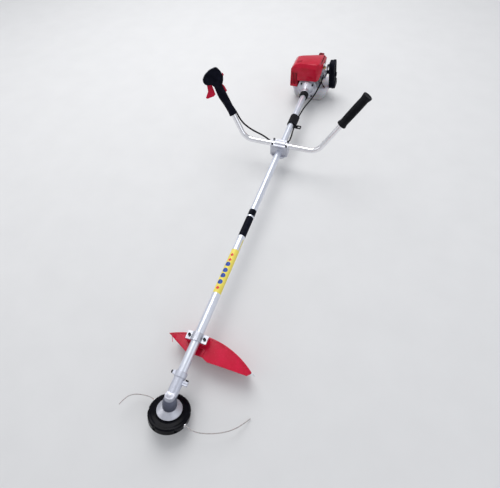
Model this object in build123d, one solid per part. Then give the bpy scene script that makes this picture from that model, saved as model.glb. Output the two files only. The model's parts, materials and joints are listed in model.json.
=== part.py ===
from build123d import *
import math
import os

# Petrol brush cutter lying on level ground, on its fuel tank and on the rim of its line head.
# Millimetres. Every part is modelled in the tube frame: the origin is where the tube axis meets the
# axis of the line head, +Y runs up the tube to the engine, +Z is up and +X is the air cleaner side.
# On export the model moves so that its origin is on the ground under the fuel tank.

# ---- driving dimensions -------------------------------------------------------------------------
TUBE_HEIGHT = 86.5           # tube axis above the ground
TANK_CENTRE = 1645.0         # middle of the fuel tank's base, from the line head axis
TUBE_RADIUS = 14.0
TUBE_WALL = 1.5
TUBE_START = 52.0
TUBE_END = 1526.0
DRIVE_SHAFT_RADIUS = 4.0
RUN_FIT = 0.05               # radial clearance of a running fit
SEAT_FIT = 0.02              # radial clearance of a seated part

HEAD_TILT = 30.0             # line head axis leans this far from vertical, towards the engine
HEAD_RADIUS = 60.0
HEAD_EDGE = 7.0              # rounding of the head's lower edge
EYELET_ANGLE = -17.0
LINE_LEVEL = -53.0           # height of the trimmer line in the head, along its axis
LINE_RADIUS = 1.35

PINION_TEETH = 15
GEAR_TEETH = 20
GEAR_PITCH_RADIUS = 15.5

GUARD_BRACKET = 185.0        # stations along the tube
HANGER_START = 1245.0
HANGER_END = 1312.0
HANDLE_STATION = 1067.0
BAR_LIFT = 29.5              # handlebar axis above the tube axis
BAR_RADIUS = 11.0
BAR_WALL = 1.5
BAR_HALF = 161.0             # half length of the crossbar, to the corner of its bend
BAR_BEND = 60.0
ARM_REACH = (141.0, 52.0, 242.0)
LEFT_BAR_END = 200.0         # arm lengths, from the corner of the bend
RIGHT_BAR_END = 288.0

FLANGE_STATION = 1556.0      # clutch housing to fan housing joint
CRANKCASE_FRONT = 1606.0
CYLINDER_STATION = 1637.0
CRANK_THROW = 15.0
BORE_RADIUS = 18.0
PISTON_FIT = 0.05
TANK_BASE = -TUBE_HEIGHT
TANK_TOP = -14.0

SCREW_RADIUS = 2.5
SCREW_HEAD_RADIUS = 4.6
SCREW_HEAD_HEIGHT = 5.0

CABLE_RADIUS = 3.5

BASE = (Align.CENTER, Align.CENTER, Align.MIN)
HEAD_AXIS = Vector(0, math.sin(math.radians(HEAD_TILT)), math.cos(math.radians(HEAD_TILT)))
HEAD_DOWNHILL = Vector(0, HEAD_AXIS.Z, -HEAD_AXIS.Y)
HEAD_FRAME = Plane(origin=(0, 0, 0), x_dir=(1, 0, 0), z_dir=HEAD_AXIS).location
TUBE_FRAME = Plane(origin=(0, 0, 0), x_dir=(1, 0, 0), z_dir=(0, 1, 0)).location
GROUND_FRAME = Location((0, -TANK_CENTRE, TUBE_HEIGHT))

# The left arm's frame: +Z up the arm from the corner of the bend, +X towards the trigger.
LEFT_CORNER = Vector(-BAR_HALF, HANDLE_STATION, BAR_LIFT)
RIGHT_CORNER = Vector(BAR_HALF, HANDLE_STATION, BAR_LIFT)
LEFT_ARM = Vector(-ARM_REACH[0], ARM_REACH[1], ARM_REACH[2]).normalized()
RIGHT_ARM = Vector(*ARM_REACH).normalized()
TRIGGER_SIDE = Vector(-0.75, -0.64, -0.30)
LEFT_GRIP_FRAME = Plane(origin=LEFT_CORNER, x_dir=TRIGGER_SIDE, z_dir=LEFT_ARM).location
RIGHT_GRIP_FRAME = Plane(origin=RIGHT_CORNER, x_dir=(1, 0, 0), z_dir=RIGHT_ARM).location


# ---- shape helpers ------------------------------------------------------------------------------
def block(low, high):
    """Box between two opposite corners."""
    size = Vector(*high) - Vector(*low)
    middle = (Vector(*high) + Vector(*low)) / 2
    return Pos(*middle) * Box(*size)


def rod(radius, start, end):
    """Cylinder from one point to another."""
    run = Vector(*end) - Vector(*start)
    frame = Plane(origin=Vector(*start), z_dir=run).location
    return frame * Cylinder(radius, run.length, align=BASE)


def pipe(outer, inner, start, end):
    """Hollow cylinder from one point to another."""
    return rod(outer, start, end) - rod(inner, start, end)


def lathe(points):
    """Solid of revolution about +Z from (radius, height) points."""
    return revolve(make_face(Plane.XZ * Polyline(*points, close=True)), Axis.Z)


def tube_lathe(points):
    """Solid of revolution about the tube axis from (radius, station) points."""
    return TUBE_FRAME * lathe(points)


def outline_of(points, corner):
    """Closed flat outline with its corners rounded."""
    outline = make_face(Polyline(*points, close=True))
    if corner:
        outline = fillet(outline.vertices(), corner)
    return outline


def prism_x(points, low, high, corner=0.0):
    """Prism along X from a (y, z) outline."""
    plane = Plane(origin=(low, 0, 0), x_dir=(0, 1, 0), z_dir=(1, 0, 0))
    return plane.location * extrude(outline_of(points, corner), high - low)


def prism_y(points, low, high, corner=0.0):
    """Prism along Y from an (x, z) outline."""
    plane = Plane(origin=(0, high, 0), x_dir=(1, 0, 0), z_dir=(0, -1, 0))
    return plane.location * extrude(outline_of(points, corner), high - low)


def prism_z(points, low, high, corner=0.0):
    """Prism along Z from an (x, y) outline."""
    return Pos(0, 0, low) * extrude(outline_of(points, corner), high - low)


def cap_screw(seat, direction, length):
    """Socket head cap screw whose head stands on its seat, with the shank going down."""
    out = Vector(*direction).normalized()
    seat = Vector(*seat)
    head = rod(SCREW_HEAD_RADIUS, seat, seat + out * SCREW_HEAD_HEIGHT)
    shank = rod(SCREW_RADIUS, seat - out * length, seat)
    socket = rod(SCREW_RADIUS, seat + out * 2.0, seat + out * SCREW_HEAD_HEIGHT)
    return head + shank - socket


def corner_radii(name, points):
    """Radius of the arc at each inner point of a route, printed as a check."""
    radii = []
    for before, corner, after in zip(points, points[1:], points[2:]):
        incoming = Vector(*corner) - Vector(*before)
        outgoing = Vector(*after) - Vector(*corner)
        half_turn = math.radians(incoming.get_angle(outgoing)) / 2
        shorter = min(incoming.length, outgoing.length)
        radii.append(0.45 * shorter / math.tan(half_turn))
    print(name, "bend radii", [round(radius, 1) for radius in radii])
    return radii


def cord(name, points, radius):
    """Round cord along straight runs joined by tangent arcs."""
    path = FilletPolyline(*points, radius=corner_radii(name, points))
    section = Plane(origin=path @ 0, z_dir=path % 0) * Circle(radius)
    return sweep(section, path=path)


# ---- gear case and drive line -------------------------------------------------------------------
GEAR_ANGLE_SUM = math.radians(180 - (90 - HEAD_TILT))
GEAR_CONE = math.atan2(
    math.sin(GEAR_ANGLE_SUM), PINION_TEETH / GEAR_TEETH + math.cos(GEAR_ANGLE_SUM))
PINION_CONE = GEAR_ANGLE_SUM - GEAR_CONE
CONE_LENGTH = GEAR_PITCH_RADIUS / math.sin(GEAR_CONE)
FACE_WIDTH = 5.0
MODULE = 2 * GEAR_PITCH_RADIUS / GEAR_TEETH


def bevel_gear(teeth, cone, back, bore, first_tooth):
    """Straight bevel gear about +Z with its cone's apex at the origin."""
    def on_cone(distance, lift):
        radius = distance * math.sin(cone) + lift * math.cos(cone)
        height = distance * math.cos(cone) - lift * math.sin(cone)
        return radius, height

    inner_length = CONE_LENGTH - FACE_WIDTH
    inner_scale = inner_length / CONE_LENGTH
    outer_root = on_cone(CONE_LENGTH, -MODULE)
    inner_root = on_cone(inner_length, -MODULE * inner_scale)
    gear = lathe([
        (bore, inner_root[1]), inner_root, outer_root, (outer_root[0], back), (bore, back)])

    def tooth_section(distance):
        scale = distance / CONE_LENGTH
        foot = on_cone(distance, -1.3 * MODULE * scale)
        tip = on_cone(distance, 0.75 * MODULE * scale)
        foot_half = 0.60 * MODULE * scale
        tip_half = 0.30 * MODULE * scale
        corners = [(foot[0], -foot_half, foot[1]), (tip[0], -tip_half, tip[1]),
                   (tip[0], tip_half, tip[1]), (foot[0], foot_half, foot[1])]
        return make_face(Polyline(*corners, close=True))

    tooth = loft([tooth_section(inner_length), tooth_section(CONE_LENGTH)])
    step = 360 / teeth
    for index in range(teeth):
        gear += Rot(0, 0, (index + first_tooth) * step) * tooth
    return gear


def pinion_gear():
    """Bevel pinion on the end of the drive shaft."""
    frame = Plane(origin=(0, 0, 0), x_dir=(0, 0, -1), z_dir=(0, 1, 0)).location
    gear = bevel_gear(PINION_TEETH, PINION_CONE, 19.5, DRIVE_SHAFT_RADIUS, 0.0)
    hub = lathe([(DRIVE_SHAFT_RADIUS, 19.5), (6.0, 19.5), (6.0, 44.0), (DRIVE_SHAFT_RADIUS, 44.0)])
    return frame * (gear + hub)


def output_gear():
    """Bevel gear on the top of the output shaft."""
    frame = Plane(origin=(0, 0, 0), x_dir=HEAD_DOWNHILL, z_dir=-HEAD_AXIS).location
    return frame * bevel_gear(GEAR_TEETH, GEAR_CONE, 11.0, 6.0, 0.5)


def output_shaft():
    """Output shaft, with the threaded end that the line head screws on to."""
    return HEAD_FRAME * (
        rod(6.0, (0, 0, -22.0), (0, 0, -3.5)) + rod(5.0, (0, 0, -47.0), (0, 0, -22.0)))


def drive_shaft():
    """Solid steel shaft through the whole tube."""
    return rod(DRIVE_SHAFT_RADIUS, (0, 22.0, 0), (0, 1534.0, 0))


def drive_shaft_bushes():
    """Five bushes that hold the drive shaft in the middle of the tube."""
    bushes = []
    bush_count = 5
    pitch = (TUBE_END - TUBE_START) / bush_count
    for index in range(bush_count):
        middle = TUBE_START + pitch * (index + 0.5)
        bushes.append(pipe(TUBE_RADIUS - TUBE_WALL - SEAT_FIT, DRIVE_SHAFT_RADIUS + RUN_FIT,
                           (0, middle - 12, 0), (0, middle + 12, 0)))
    return bushes


def gear_case_bearings():
    """A bearing round the output shaft and two round the pinion's hub."""
    lower = HEAD_FRAME * pipe(16.0, 6.0 + RUN_FIT, (0, 0, -21.5), (0, 0, -13.2))
    upper = [pipe(13.3, 6.0 + RUN_FIT, (0, low, 0), (0, low + 8.0, 0)) for low in (24.0, 36.0)]
    return [lower] + upper


def gear_case():
    """Cast case: a socket for the tube and a leaning barrel for the output shaft."""
    barrel = HEAD_FRAME * lathe([
        (0, -22), (20.3, -22), (20.3, -10), (19, 0), (15.5, 8), (14.4, 12), (14.4, 18.5),
        (13.0, 19.8), (0, 19.8)])
    neck = tube_lathe([
        (0, 0), (16.2, 0), (16.2, 60), (18.0, 64), (18.0, 77), (17.0, 79), (0, 79)])
    lug_right = block((15, 46, -5), (30, 58, 5))
    lug_left = block((-25, 66, -5), (-15, 77, 5))
    case = barrel + neck + lug_right + lug_left
    case -= HEAD_FRAME * lathe([
        (0, -23), (16.0 + SEAT_FIT, -23), (16.0 + SEAT_FIT, -13), (17.3, -13), (17.3, -1),
        (12.5, 4), (12.5, 15), (0, 15)])
    case -= rod(13.3 + SEAT_FIT, (0, 2, 0), (0, TUBE_START - 1, 0))
    case -= rod(TUBE_RADIUS + SEAT_FIT, (0, TUBE_START - 1, 0), (0, 80, 0))
    case -= block((17.4, 51.6, -6), (31, 52.4, 6))
    case -= rod(SCREW_RADIUS + SEAT_FIT, (24.5, 45, 0), (24.5, 59, 0))
    case -= rod(SCREW_RADIUS + SEAT_FIT, (-27, 71.5, 0), (-16.5, 71.5, 0))
    return case


def main_tube():
    """Aluminium main tube."""
    return pipe(TUBE_RADIUS, TUBE_RADIUS - TUBE_WALL, (0, TUBE_START, 0), (0, TUBE_END, 0))


def tube_collar():
    """Rubber collar where the tube enters the clutch housing."""
    return tube_lathe([(14.1, 1476), (18, 1476), (20.5, 1480), (21.5, 1488), (21.5, 1501.5),
                       (14.1, 1501.5)])


# ---- line head ----------------------------------------------------------------------------------
HEAD_BOTTOM = -(
    (TUBE_HEIGHT - HEAD_EDGE - (HEAD_RADIUS - HEAD_EDGE) * HEAD_AXIS.Y) / HEAD_AXIS.Z + HEAD_EDGE)
HEAD_SPLIT = -60.5
HEAD_WALL = 53.5             # inner radius of the head's wall
EYELET_RADIUS = 4.0
KNOB_RADIUS = 23.0


def holder_flange():
    """Dished steel holder between the gear case and the line head."""
    return HEAD_FRAME * lathe([
        (5.0 + SEAT_FIT, -29.6), (14, -29.6), (14, -26.2), (20, -25.9), (33.6, -38.2),
        (36, -38.2), (36, -36.6), (34.6, -35.6), (21, -23.4), (5.0 + SEAT_FIT, -23.4)])


def line_head_housing():
    """Upper half of the line head, with stepped top, hub and two windows for the eyelets."""
    housing = lathe([
        (5.0 + SEAT_FIT, -30), (18, -30), (33, -40.5), (39, -40.5), (41, -42), (50, -43),
        (53, -44), (57, -44.5), (HEAD_RADIUS, -47.5), (HEAD_RADIUS, HEAD_SPLIT),
        (HEAD_WALL, HEAD_SPLIT), (HEAD_WALL, -50), (41, -46), (33, -44), (24, -37.5),
        (14, -36.5), (14, -48), (5.0 + SEAT_FIT, -48)])
    for angle in (EYELET_ANGLE, EYELET_ANGLE + 180):
        window = rod(EYELET_RADIUS + SEAT_FIT, (51, 0, LINE_LEVEL), (62, 0, LINE_LEVEL))
        housing -= Rot(0, 0, angle) * window
    notch_count = 6
    for index in range(notch_count):
        notch = rod(5.0, (62.5, 0, -62), (62.5, 0, -40))
        housing -= Rot(0, 0, 16 + index * 360 / notch_count) * notch
    return HEAD_FRAME * housing


def line_head_cover():
    """Lower half of the line head, whose rounded edge rests on the ground."""
    outer = lathe([
        (0, HEAD_BOTTOM), (HEAD_RADIUS, HEAD_BOTTOM), (HEAD_RADIUS, HEAD_SPLIT - 0.3),
        (0, HEAD_SPLIT - 0.3)])
    lower_edge = outer.edges().filter_by(GeomType.CIRCLE).sort_by(Axis.Z)[0]
    outer = fillet(lower_edge, HEAD_EDGE)
    outer -= lathe([
        (0, HEAD_BOTTOM + 3), (HEAD_WALL, HEAD_BOTTOM + 3), (HEAD_WALL, HEAD_SPLIT),
        (0, HEAD_SPLIT)])
    outer -= rod(KNOB_RADIUS + 0.4, (0, 0, HEAD_BOTTOM - 1), (0, 0, HEAD_SPLIT))
    return HEAD_FRAME * outer


def line_spool():
    """Spool with the stored line wound on it."""
    return HEAD_FRAME * lathe([
        (24, -64.5), (51, -64.5), (51, -63), (44, -62.3), (44, -52.2), (51, -51.5),
        (51, -50.6), (24, -50.6)])


def tap_knob():
    """Cup-shaped knob that is tapped on the ground to feed line."""
    return HEAD_FRAME * lathe([
        (0, -76), (16, -76), (21, -74), (KNOB_RADIUS, -70), (KNOB_RADIUS, -47.5), (19, -47.5),
        (19, -69), (0, -69)])


def line_eyelets():
    """Two metal eyelets that the line leaves through."""
    eyelets = []
    for angle in (EYELET_ANGLE, EYELET_ANGLE + 180):
        ring = rod(EYELET_RADIUS, (53.8, 0, LINE_LEVEL), (60.5, 0, LINE_LEVEL))
        ring += rod(EYELET_RADIUS + 1.2, (60.2, 0, LINE_LEVEL), (61.6, 0, LINE_LEVEL))
        ring -= rod(LINE_RADIUS + 0.6, (53, 0, LINE_LEVEL), (62, 0, LINE_LEVEL))
        eyelets.append(HEAD_FRAME * (Rot(0, 0, angle) * ring))
    return eyelets


RIGHT_LINE = [(54.5, -16.7), (77, -23.6), (104, -22), (131, -12.5), (156, 0), (180, 17),
              (203, 43), (220, 73)]
LEFT_LINE = [(-54.5, 16.7), (-72, 22), (-91, 20.5), (-110, 16.5), (-128, 8), (-139.5, -8),
             (-142, -33)]


def trimmer_line(name, route):
    """Free length of nylon line, from inside its eyelet to its cut end."""
    points = [HEAD_AXIS * LINE_LEVEL + Vector(x, 0, 0) + HEAD_DOWNHILL * y for x, y in route]
    return cord(name, points, LINE_RADIUS)


# ---- guard --------------------------------------------------------------------------------------
GUARD_TOP = -24.0
GUARD_SHEET = 3.0
GUARD_SKIRT = 46.0
GUARD_LEFT_TIP = (-99, 176)
GUARD_RIGHT_TIP = (188.5, 146.5)
GUARD_CROWN = (32, 203.5)
GUARD_LOWER_EDGE = [(184, 139), (177, 133), (112, 132.5), (51, 131), (30, 140), (-22, 139)]
GUARD_SCREW_X = 25.0
BLADE_TOP = GUARD_TOP - GUARD_SHEET - 0.3
BLADE_SHEET = 1.5


def guard_outline(drop):
    """Plan outline of the guard: an arc over the top and straight runs along the lower edge."""
    crown = ThreePointArc(GUARD_LEFT_TIP, GUARD_CROWN, GUARD_RIGHT_TIP)
    lower = Polyline(GUARD_RIGHT_TIP, *GUARD_LOWER_EDGE, GUARD_LEFT_TIP)
    return make_face(Curve() + [crown, lower]).moved(Location((0, 0, drop)))


def debris_guard():
    """Moulded guard: a thin hood with a skirt along its arc, a sunk step and a tube saddle."""
    whole = extrude(guard_outline(GUARD_TOP - GUARD_SKIRT), GUARD_SKIRT)
    arc = ThreePointArc(GUARD_LEFT_TIP, GUARD_CROWN, GUARD_RIGHT_TIP)
    middle = arc.arc_center
    hood = whole - rod(arc.radius - GUARD_SHEET, (middle.X, middle.Y, -90),
                       (middle.X, middle.Y, GUARD_TOP - GUARD_SHEET))
    channel = block((-20, 120, GUARD_TOP - GUARD_SHEET - 1), (24, 166, GUARD_TOP + 1))
    sunk = block((-23, 141.5, GUARD_TOP - 13), (27, 166, GUARD_TOP)) & whole
    sunk -= block((-20, 120, GUARD_TOP - 10), (24, 163, GUARD_TOP + 1))
    hood = hood - channel + sunk
    saddle = block((-33, GUARD_BRACKET - 16, GUARD_TOP - 2), (33, GUARD_BRACKET + 13, -3))
    hood += saddle - rod(TUBE_RADIUS + SEAT_FIT, (0, 100, 0), (0, 250, 0))
    hood -= block((170, 136, BLADE_TOP - BLADE_SHEET - 0.3), (205, 149.5, BLADE_TOP + 0.3))
    for x in (-GUARD_SCREW_X, GUARD_SCREW_X):
        hood -= rod(SCREW_RADIUS + SEAT_FIT, (x, GUARD_BRACKET, -40), (x, GUARD_BRACKET, 0))
    return hood


def guard_bracket():
    """Cast strap over the tube that clamps the guard, with a square ear each side."""
    strap = prism_y([(-34, -2.7), (-34, 5), (-18, 5), (-13, 14), (-6, 18), (6, 18), (13, 14),
                     (18, 5), (34, 5), (34, -2.7)], GUARD_BRACKET - 13, GUARD_BRACKET + 13)
    strap -= rod(TUBE_RADIUS + SEAT_FIT, (0, 100, 0), (0, 250, 0))
    for x in (-GUARD_SCREW_X, GUARD_SCREW_X):
        strap -= rod(SCREW_RADIUS + SEAT_FIT, (x, GUARD_BRACKET, -4), (x, GUARD_BRACKET, 6))
    return strap


def line_cutter_blade():
    """Steel blade under the guard's right tip that trims the line to length."""
    return prism_z([(172, 143), (189, 139), (201.5, 139.5), (201, 142.5), (190, 146), (173, 148)],
                   BLADE_TOP - BLADE_SHEET, BLADE_TOP)


# ---- handle -------------------------------------------------------------------------------------
CLAMP_SCREW_X = 31.0
CLAMP_SCREW_Y = 15.5
CLAMP_HALF_X = 39.0
CLAMP_HALF_Y = 22.0


def handlebar():
    """U-shaped aluminium handlebar in one piece."""
    path = FilletPolyline(
        LEFT_CORNER + LEFT_ARM * LEFT_BAR_END, LEFT_CORNER, RIGHT_CORNER,
        RIGHT_CORNER + RIGHT_ARM * RIGHT_BAR_END, radius=BAR_BEND)
    section = Circle(BAR_RADIUS) - Circle(BAR_RADIUS - BAR_WALL)
    return sweep(Plane(origin=path @ 0, z_dir=path % 0) * section, path=path)


def clamp_plate(low, high, half_x=CLAMP_HALF_X, half_y=CLAMP_HALF_Y):
    """Flat clamp piece round the crossing of the tube and the handlebar, with four screw holes."""
    corners = [(-half_x, -half_y), (half_x, -half_y), (half_x, half_y), (-half_x, half_y)]
    plate = Pos(0, HANDLE_STATION, 0) * prism_z(corners, low, high, 6.0)
    plate -= rod(TUBE_RADIUS + SEAT_FIT, (0, 1000, 0), (0, 1130, 0))
    plate -= rod(BAR_RADIUS + SEAT_FIT, (-60, HANDLE_STATION, BAR_LIFT),
                 (60, HANDLE_STATION, BAR_LIFT))
    for x in (-CLAMP_SCREW_X, CLAMP_SCREW_X):
        for y in (-CLAMP_SCREW_Y, CLAMP_SCREW_Y):
            hole_y = HANDLE_STATION + y
            plate -= rod(SCREW_RADIUS + SEAT_FIT, (x, hole_y, low - 1), (x, hole_y, high + 1))
    return plate


def handle_clamp_cap():
    """Top piece of the clamp, with a raised rib over the bar."""
    rib = rod(BAR_RADIUS + 5, (-24, HANDLE_STATION, BAR_LIFT), (24, HANDLE_STATION, BAR_LIFT))
    rib &= block((-30, HANDLE_STATION - 20, BAR_LIFT + 0.6), (30, HANDLE_STATION + 20, 60))
    rib -= rod(BAR_RADIUS + SEAT_FIT, (-60, HANDLE_STATION, BAR_LIFT),
               (60, HANDLE_STATION, BAR_LIFT))
    return clamp_plate(BAR_LIFT + 0.5, BAR_LIFT + 9) + rib


def handle_clamp_mid():
    """Middle piece, between the tube and the bar."""
    return clamp_plate(0.5, BAR_LIFT - 0.5)


def handle_clamp_base():
    """Bottom piece, which narrows under the tube."""
    plate = clamp_plate(-14, -0.5)
    body = prism_y([(-30, -10), (30, -10), (20, -20), (10, -23), (-10, -23), (-20, -20)],
                   HANDLE_STATION - 30, HANDLE_STATION + 22)
    body -= rod(TUBE_RADIUS + SEAT_FIT, (0, 1000, 0), (0, 1130, 0))
    for x in (-CLAMP_SCREW_X, CLAMP_SCREW_X):
        for y in (-CLAMP_SCREW_Y, CLAMP_SCREW_Y):
            hole_y = HANDLE_STATION + y
            body -= rod(SCREW_RADIUS + SEAT_FIT, (x, hole_y, -30), (x, hole_y, 0))
    return plate + body


def right_grip():
    """Rubber grip with a flare at each end."""
    grip = lathe([
        (BAR_RADIUS + SEAT_FIT, 152), (19, 152), (19.5, 156), (16.5, 164), (16.0, 180),
        (16.5, 230), (16.0, 272), (18.5, 284), (19.5, 288), (18.5, 292), (0, 292), (0, 288.5),
        (BAR_RADIUS + SEAT_FIT, 288.5)])
    return RIGHT_GRIP_FRAME * grip


# Throttle grip, in the left arm's frame.
TRIGGER_PIVOT = (31.0, 284.0)
TRIGGER_WIDTH = 9.0
LOCKOUT_PIVOT = (-9.0, 239.0)
LOCKOUT_WIDTH = 8.0
SWITCH_WIDTH = 9.0
HEAD_OUTLINE = [(-14, 236), (-27, 252), (-31, 262), (-30, 282), (-23, 302), (6, 305), (32, 298),
                (49, 286), (52, 270), (44, 260), (26, 254), (18, 236)]


def grip_section(height, centre, half_width, half_depth):
    """Oval cross-section of the throttle grip at a height along the arm."""
    return Pos(centre, 0, height) * Ellipse(half_width, half_depth)


def throttle_housing():
    """Both halves of the throttle grip as one body."""
    sections = [
        grip_section(112, 0, 17.5, 17), grip_section(117, 0, 17, 16.5),
        grip_section(128, 0.5, 15.2, 15), grip_section(165, 2, 16.5, 15.5),
        grip_section(205, 5, 19, 16), grip_section(243, 3, 17.5, 15.5)]
    grip = loft(sections)
    head = prism_y(HEAD_OUTLINE, -19, 19, 4.0)
    body = grip + head + rod(6.0, (-13.5, 0, 113), (-8.0, 0, 150))
    body -= rod(BAR_RADIUS + SEAT_FIT, (0, 0, 110), (0, 0, LEFT_BAR_END + 0.5))
    half = TRIGGER_WIDTH / 2 + 0.6
    body -= block((4, -half, LEFT_BAR_END + 2), (60, half, 256))
    body -= block((8, -half, 250), (47, half, 294))
    for side in (-1, 1):
        boss_end = side * (half + 2)
        body += rod(3.0, (TRIGGER_PIVOT[0], side * 0.2, TRIGGER_PIVOT[1]),
                    (TRIGGER_PIVOT[0], boss_end, TRIGGER_PIVOT[1]))
    lever_half = LOCKOUT_WIDTH / 2 + 0.6
    body -= block((-30, -lever_half, LEFT_BAR_END + 2), (2, lever_half, 246))
    for side in (-1, 1):
        boss_end = side * (lever_half + 2)
        body += rod(2.0, (LOCKOUT_PIVOT[0], side * 0.2, LOCKOUT_PIVOT[1]),
                    (LOCKOUT_PIVOT[0], boss_end, LOCKOUT_PIVOT[1]))
    switch_half = SWITCH_WIDTH / 2 + 0.4
    body -= block((-40, -switch_half, 258.5), (-20, switch_half, 281.5))
    return body


def throttle_housing_half(front):
    """One moulded half, split along the middle plane of the grip."""
    low = (-60, -30, 100) if front else (-60, 0, 100)
    high = (70, 0, 320) if front else (70, 30, 320)
    return LEFT_GRIP_FRAME * (throttle_housing() & block(low, high))


def throttle_trigger():
    """Trigger that hangs from its pivot and flares into a hook."""
    outline = [(25, 288), (31, 291), (38, 287), (43, 262), (51, 238), (71, 222), (67, 216),
               (38, 212), (29, 216), (25, 250)]
    lever = prism_y(outline, -TRIGGER_WIDTH / 2, TRIGGER_WIDTH / 2, 1.5)
    lever -= rod(3.0 + RUN_FIT, (TRIGGER_PIVOT[0], -10, TRIGGER_PIVOT[1]),
                 (TRIGGER_PIVOT[0], 10, TRIGGER_PIVOT[1]))
    return LEFT_GRIP_FRAME * lever


def lockout_lever():
    """Palm lever that frees the trigger."""
    outline = [(-13, 243), (-5, 243), (-6, 232), (-11, 206), (-16, 204), (-20, 207), (-19, 226)]
    lever = prism_y(outline, -LOCKOUT_WIDTH / 2, LOCKOUT_WIDTH / 2, 1.2)
    lever -= rod(2.0 + RUN_FIT, (LOCKOUT_PIVOT[0], -10, LOCKOUT_PIVOT[1]),
                 (LOCKOUT_PIVOT[0], 10, LOCKOUT_PIVOT[1]))
    return LEFT_GRIP_FRAME * lever


def stop_switch():
    """Sliding stop switch on the inner side of the throttle head."""
    tab = prism_y([(-36, 262), (-21, 259.5), (-21, 273.5), (-36, 271)],
                  -SWITCH_WIDTH / 2, SWITCH_WIDTH / 2, 1.0)
    return LEFT_GRIP_FRAME * tab


CABLE_ROUTE = [
    (-205, 1097, 129), (-193, 1093, 109), (-176, 1093, 85), (-150, 1096, 63), (-122, 1099, 47),
    (-90, 1101, 35), (-58, 1100, 16), (-30, 1103, -8), (-4, 1112, -22), (17, 1133, -17),
    (23, 1168, -6), (19.5, 1210, 0), (18.6, 1262, 1), (18.2, 1310, 0), (21, 1362, -2),
    (26, 1412, -5), (35, 1458, -8), (46, 1502, -5), (55, 1540, 6), (62, 1570, 22), (66, 1594, 39),
    (67, 1613.9, 48)]


def throttle_cable():
    """Sheathed throttle cable and stop wires, from the grip to the carburettor."""
    return cord("throttle_cable", CABLE_ROUTE, CABLE_RADIUS)


def hanger_band():
    """Rubber band round tube and cable, with a steel eye for the harness hook."""
    outline = make_hull(Circle(18).edges() + (Pos(18.4, 0) * Circle(7.2)).edges())
    band = TUBE_FRAME * (Pos(0, 0, HANGER_START) * extrude(outline, HANGER_END - HANGER_START))
    band -= rod(TUBE_RADIUS + SEAT_FIT, (0, 1200, 0), (0, 1350, 0))
    band -= rod(CABLE_RADIUS + 2.0, (18.4, 1200, 0.3), (18.4, 1350, 0.3))
    eye = prism_z([(8, 1252), (46, 1252), (46, 1274), (8, 1274)], -17.5, -14.5, 5.0)
    band += eye - rod(TUBE_RADIUS + SEAT_FIT, (0, 1200, 0), (0, 1350, 0))
    band -= rod(6.0, (36, 1263, -20), (36, 1263, -10))
    return band


def socket_screws():
    """Every socket head screw: gear case, guard, handle clamp and clutch housing."""
    screws = [cap_screw((24.5, 58, 0), (0, 1, 0), 11), cap_screw((-25, 71.5, 0), (-1, 0, 0), 8)]
    for x in (-GUARD_SCREW_X, GUARD_SCREW_X):
        screws.append(cap_screw((x, GUARD_BRACKET, 5), (0, 0, 1), 26))
    for x in (-CLAMP_SCREW_X, CLAMP_SCREW_X):
        for y in (-CLAMP_SCREW_Y, CLAMP_SCREW_Y):
            screws.append(cap_screw((x, HANDLE_STATION + y, BAR_LIFT + 9), (0, 0, 1), 46))
    for x, z in CLUTCH_SCREWS:
        screws.append(cap_screw((x, FLANGE_STATION - 8, z), (0, -1, 0), 18))
    return screws


# ---- clutch and fan -----------------------------------------------------------------------------
CLUTCH_SCREWS = [(-29, 29), (29, 29), (-29, -29), (29, -29)]


def clutch_housing():
    """Cast cone between the tube and the fan housing, with a square flange and four ribs."""
    cone = tube_lathe([
        (0, 1502), (22, 1502), (23, 1504), (24, 1520), (39, 1545), (40, 1548), (40, 1556),
        (0, 1556)])
    flange = prism_y([(-36, -36), (36, -36), (36, 36), (-36, 36)], 1548, 1556, 9.0)
    casting = cone + flange
    for angle in range(4):
        rib = block((-2, 1508, 18), (2, 1550, 38)) & tube_lathe([
            (0, 1508), (24, 1508), (40, 1540), (40, 1550), (0, 1550)])
        casting += Rot(0, angle * 90, 0) * rib
    casting -= rod(TUBE_RADIUS + SEAT_FIT, (0, 1500, 0), (0, TUBE_END + 0.5, 0))
    casting -= tube_lathe([(0, 1526), (9, 1526), (20, 1530), (35.2, 1542), (35.2, 1557), (0, 1557)])
    for x, z in CLUTCH_SCREWS:
        casting -= rod(SCREW_RADIUS + SEAT_FIT, (x, 1540, z), (x, 1557, z))
        casting -= rod(SCREW_HEAD_RADIUS + 0.5, (x, 1530, z), (x, 1548, z))
    return casting


def clutch_drum():
    """Clutch drum pressed on the end of the drive shaft."""
    return tube_lathe([
        (DRIVE_SHAFT_RADIUS, 1531), (8, 1531), (8, 1540), (33, 1543.5), (33, 1555.5),
        (30.8, 1555.5), (30.8, 1545.5), (DRIVE_SHAFT_RADIUS, 1542)])


def clutch_shoes():
    """Two centrifugal shoes, drawn in by their spring."""
    shoes = []
    for side in (-1, 1):
        pad = pipe(29.5, 15, (0, 1547, 0), (0, 1555, 0))
        pad &= block((1.5, 1546, -40), (40, 1556, 40))
        shoes.append(pad if side > 0 else Rot(0, 180, 0) * pad)
    return shoes


def fan_housing():
    """Cast fan housing between the clutch housing and the crankcase."""
    shell = tube_lathe([(0, 1556.3), (48, 1556.3), (50, 1560), (50, 1605.7), (0, 1605.7)])
    shell -= rod(35.5, (0, 1550, 0), (0, 1566, 0))
    shell -= rod(46.5, (0, 1565, 0), (0, 1606, 0))
    for x, z in CLUTCH_SCREWS:
        shell -= rod(SCREW_RADIUS + SEAT_FIT, (x, 1550, z), (x, 1566, z))
    return shell


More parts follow.
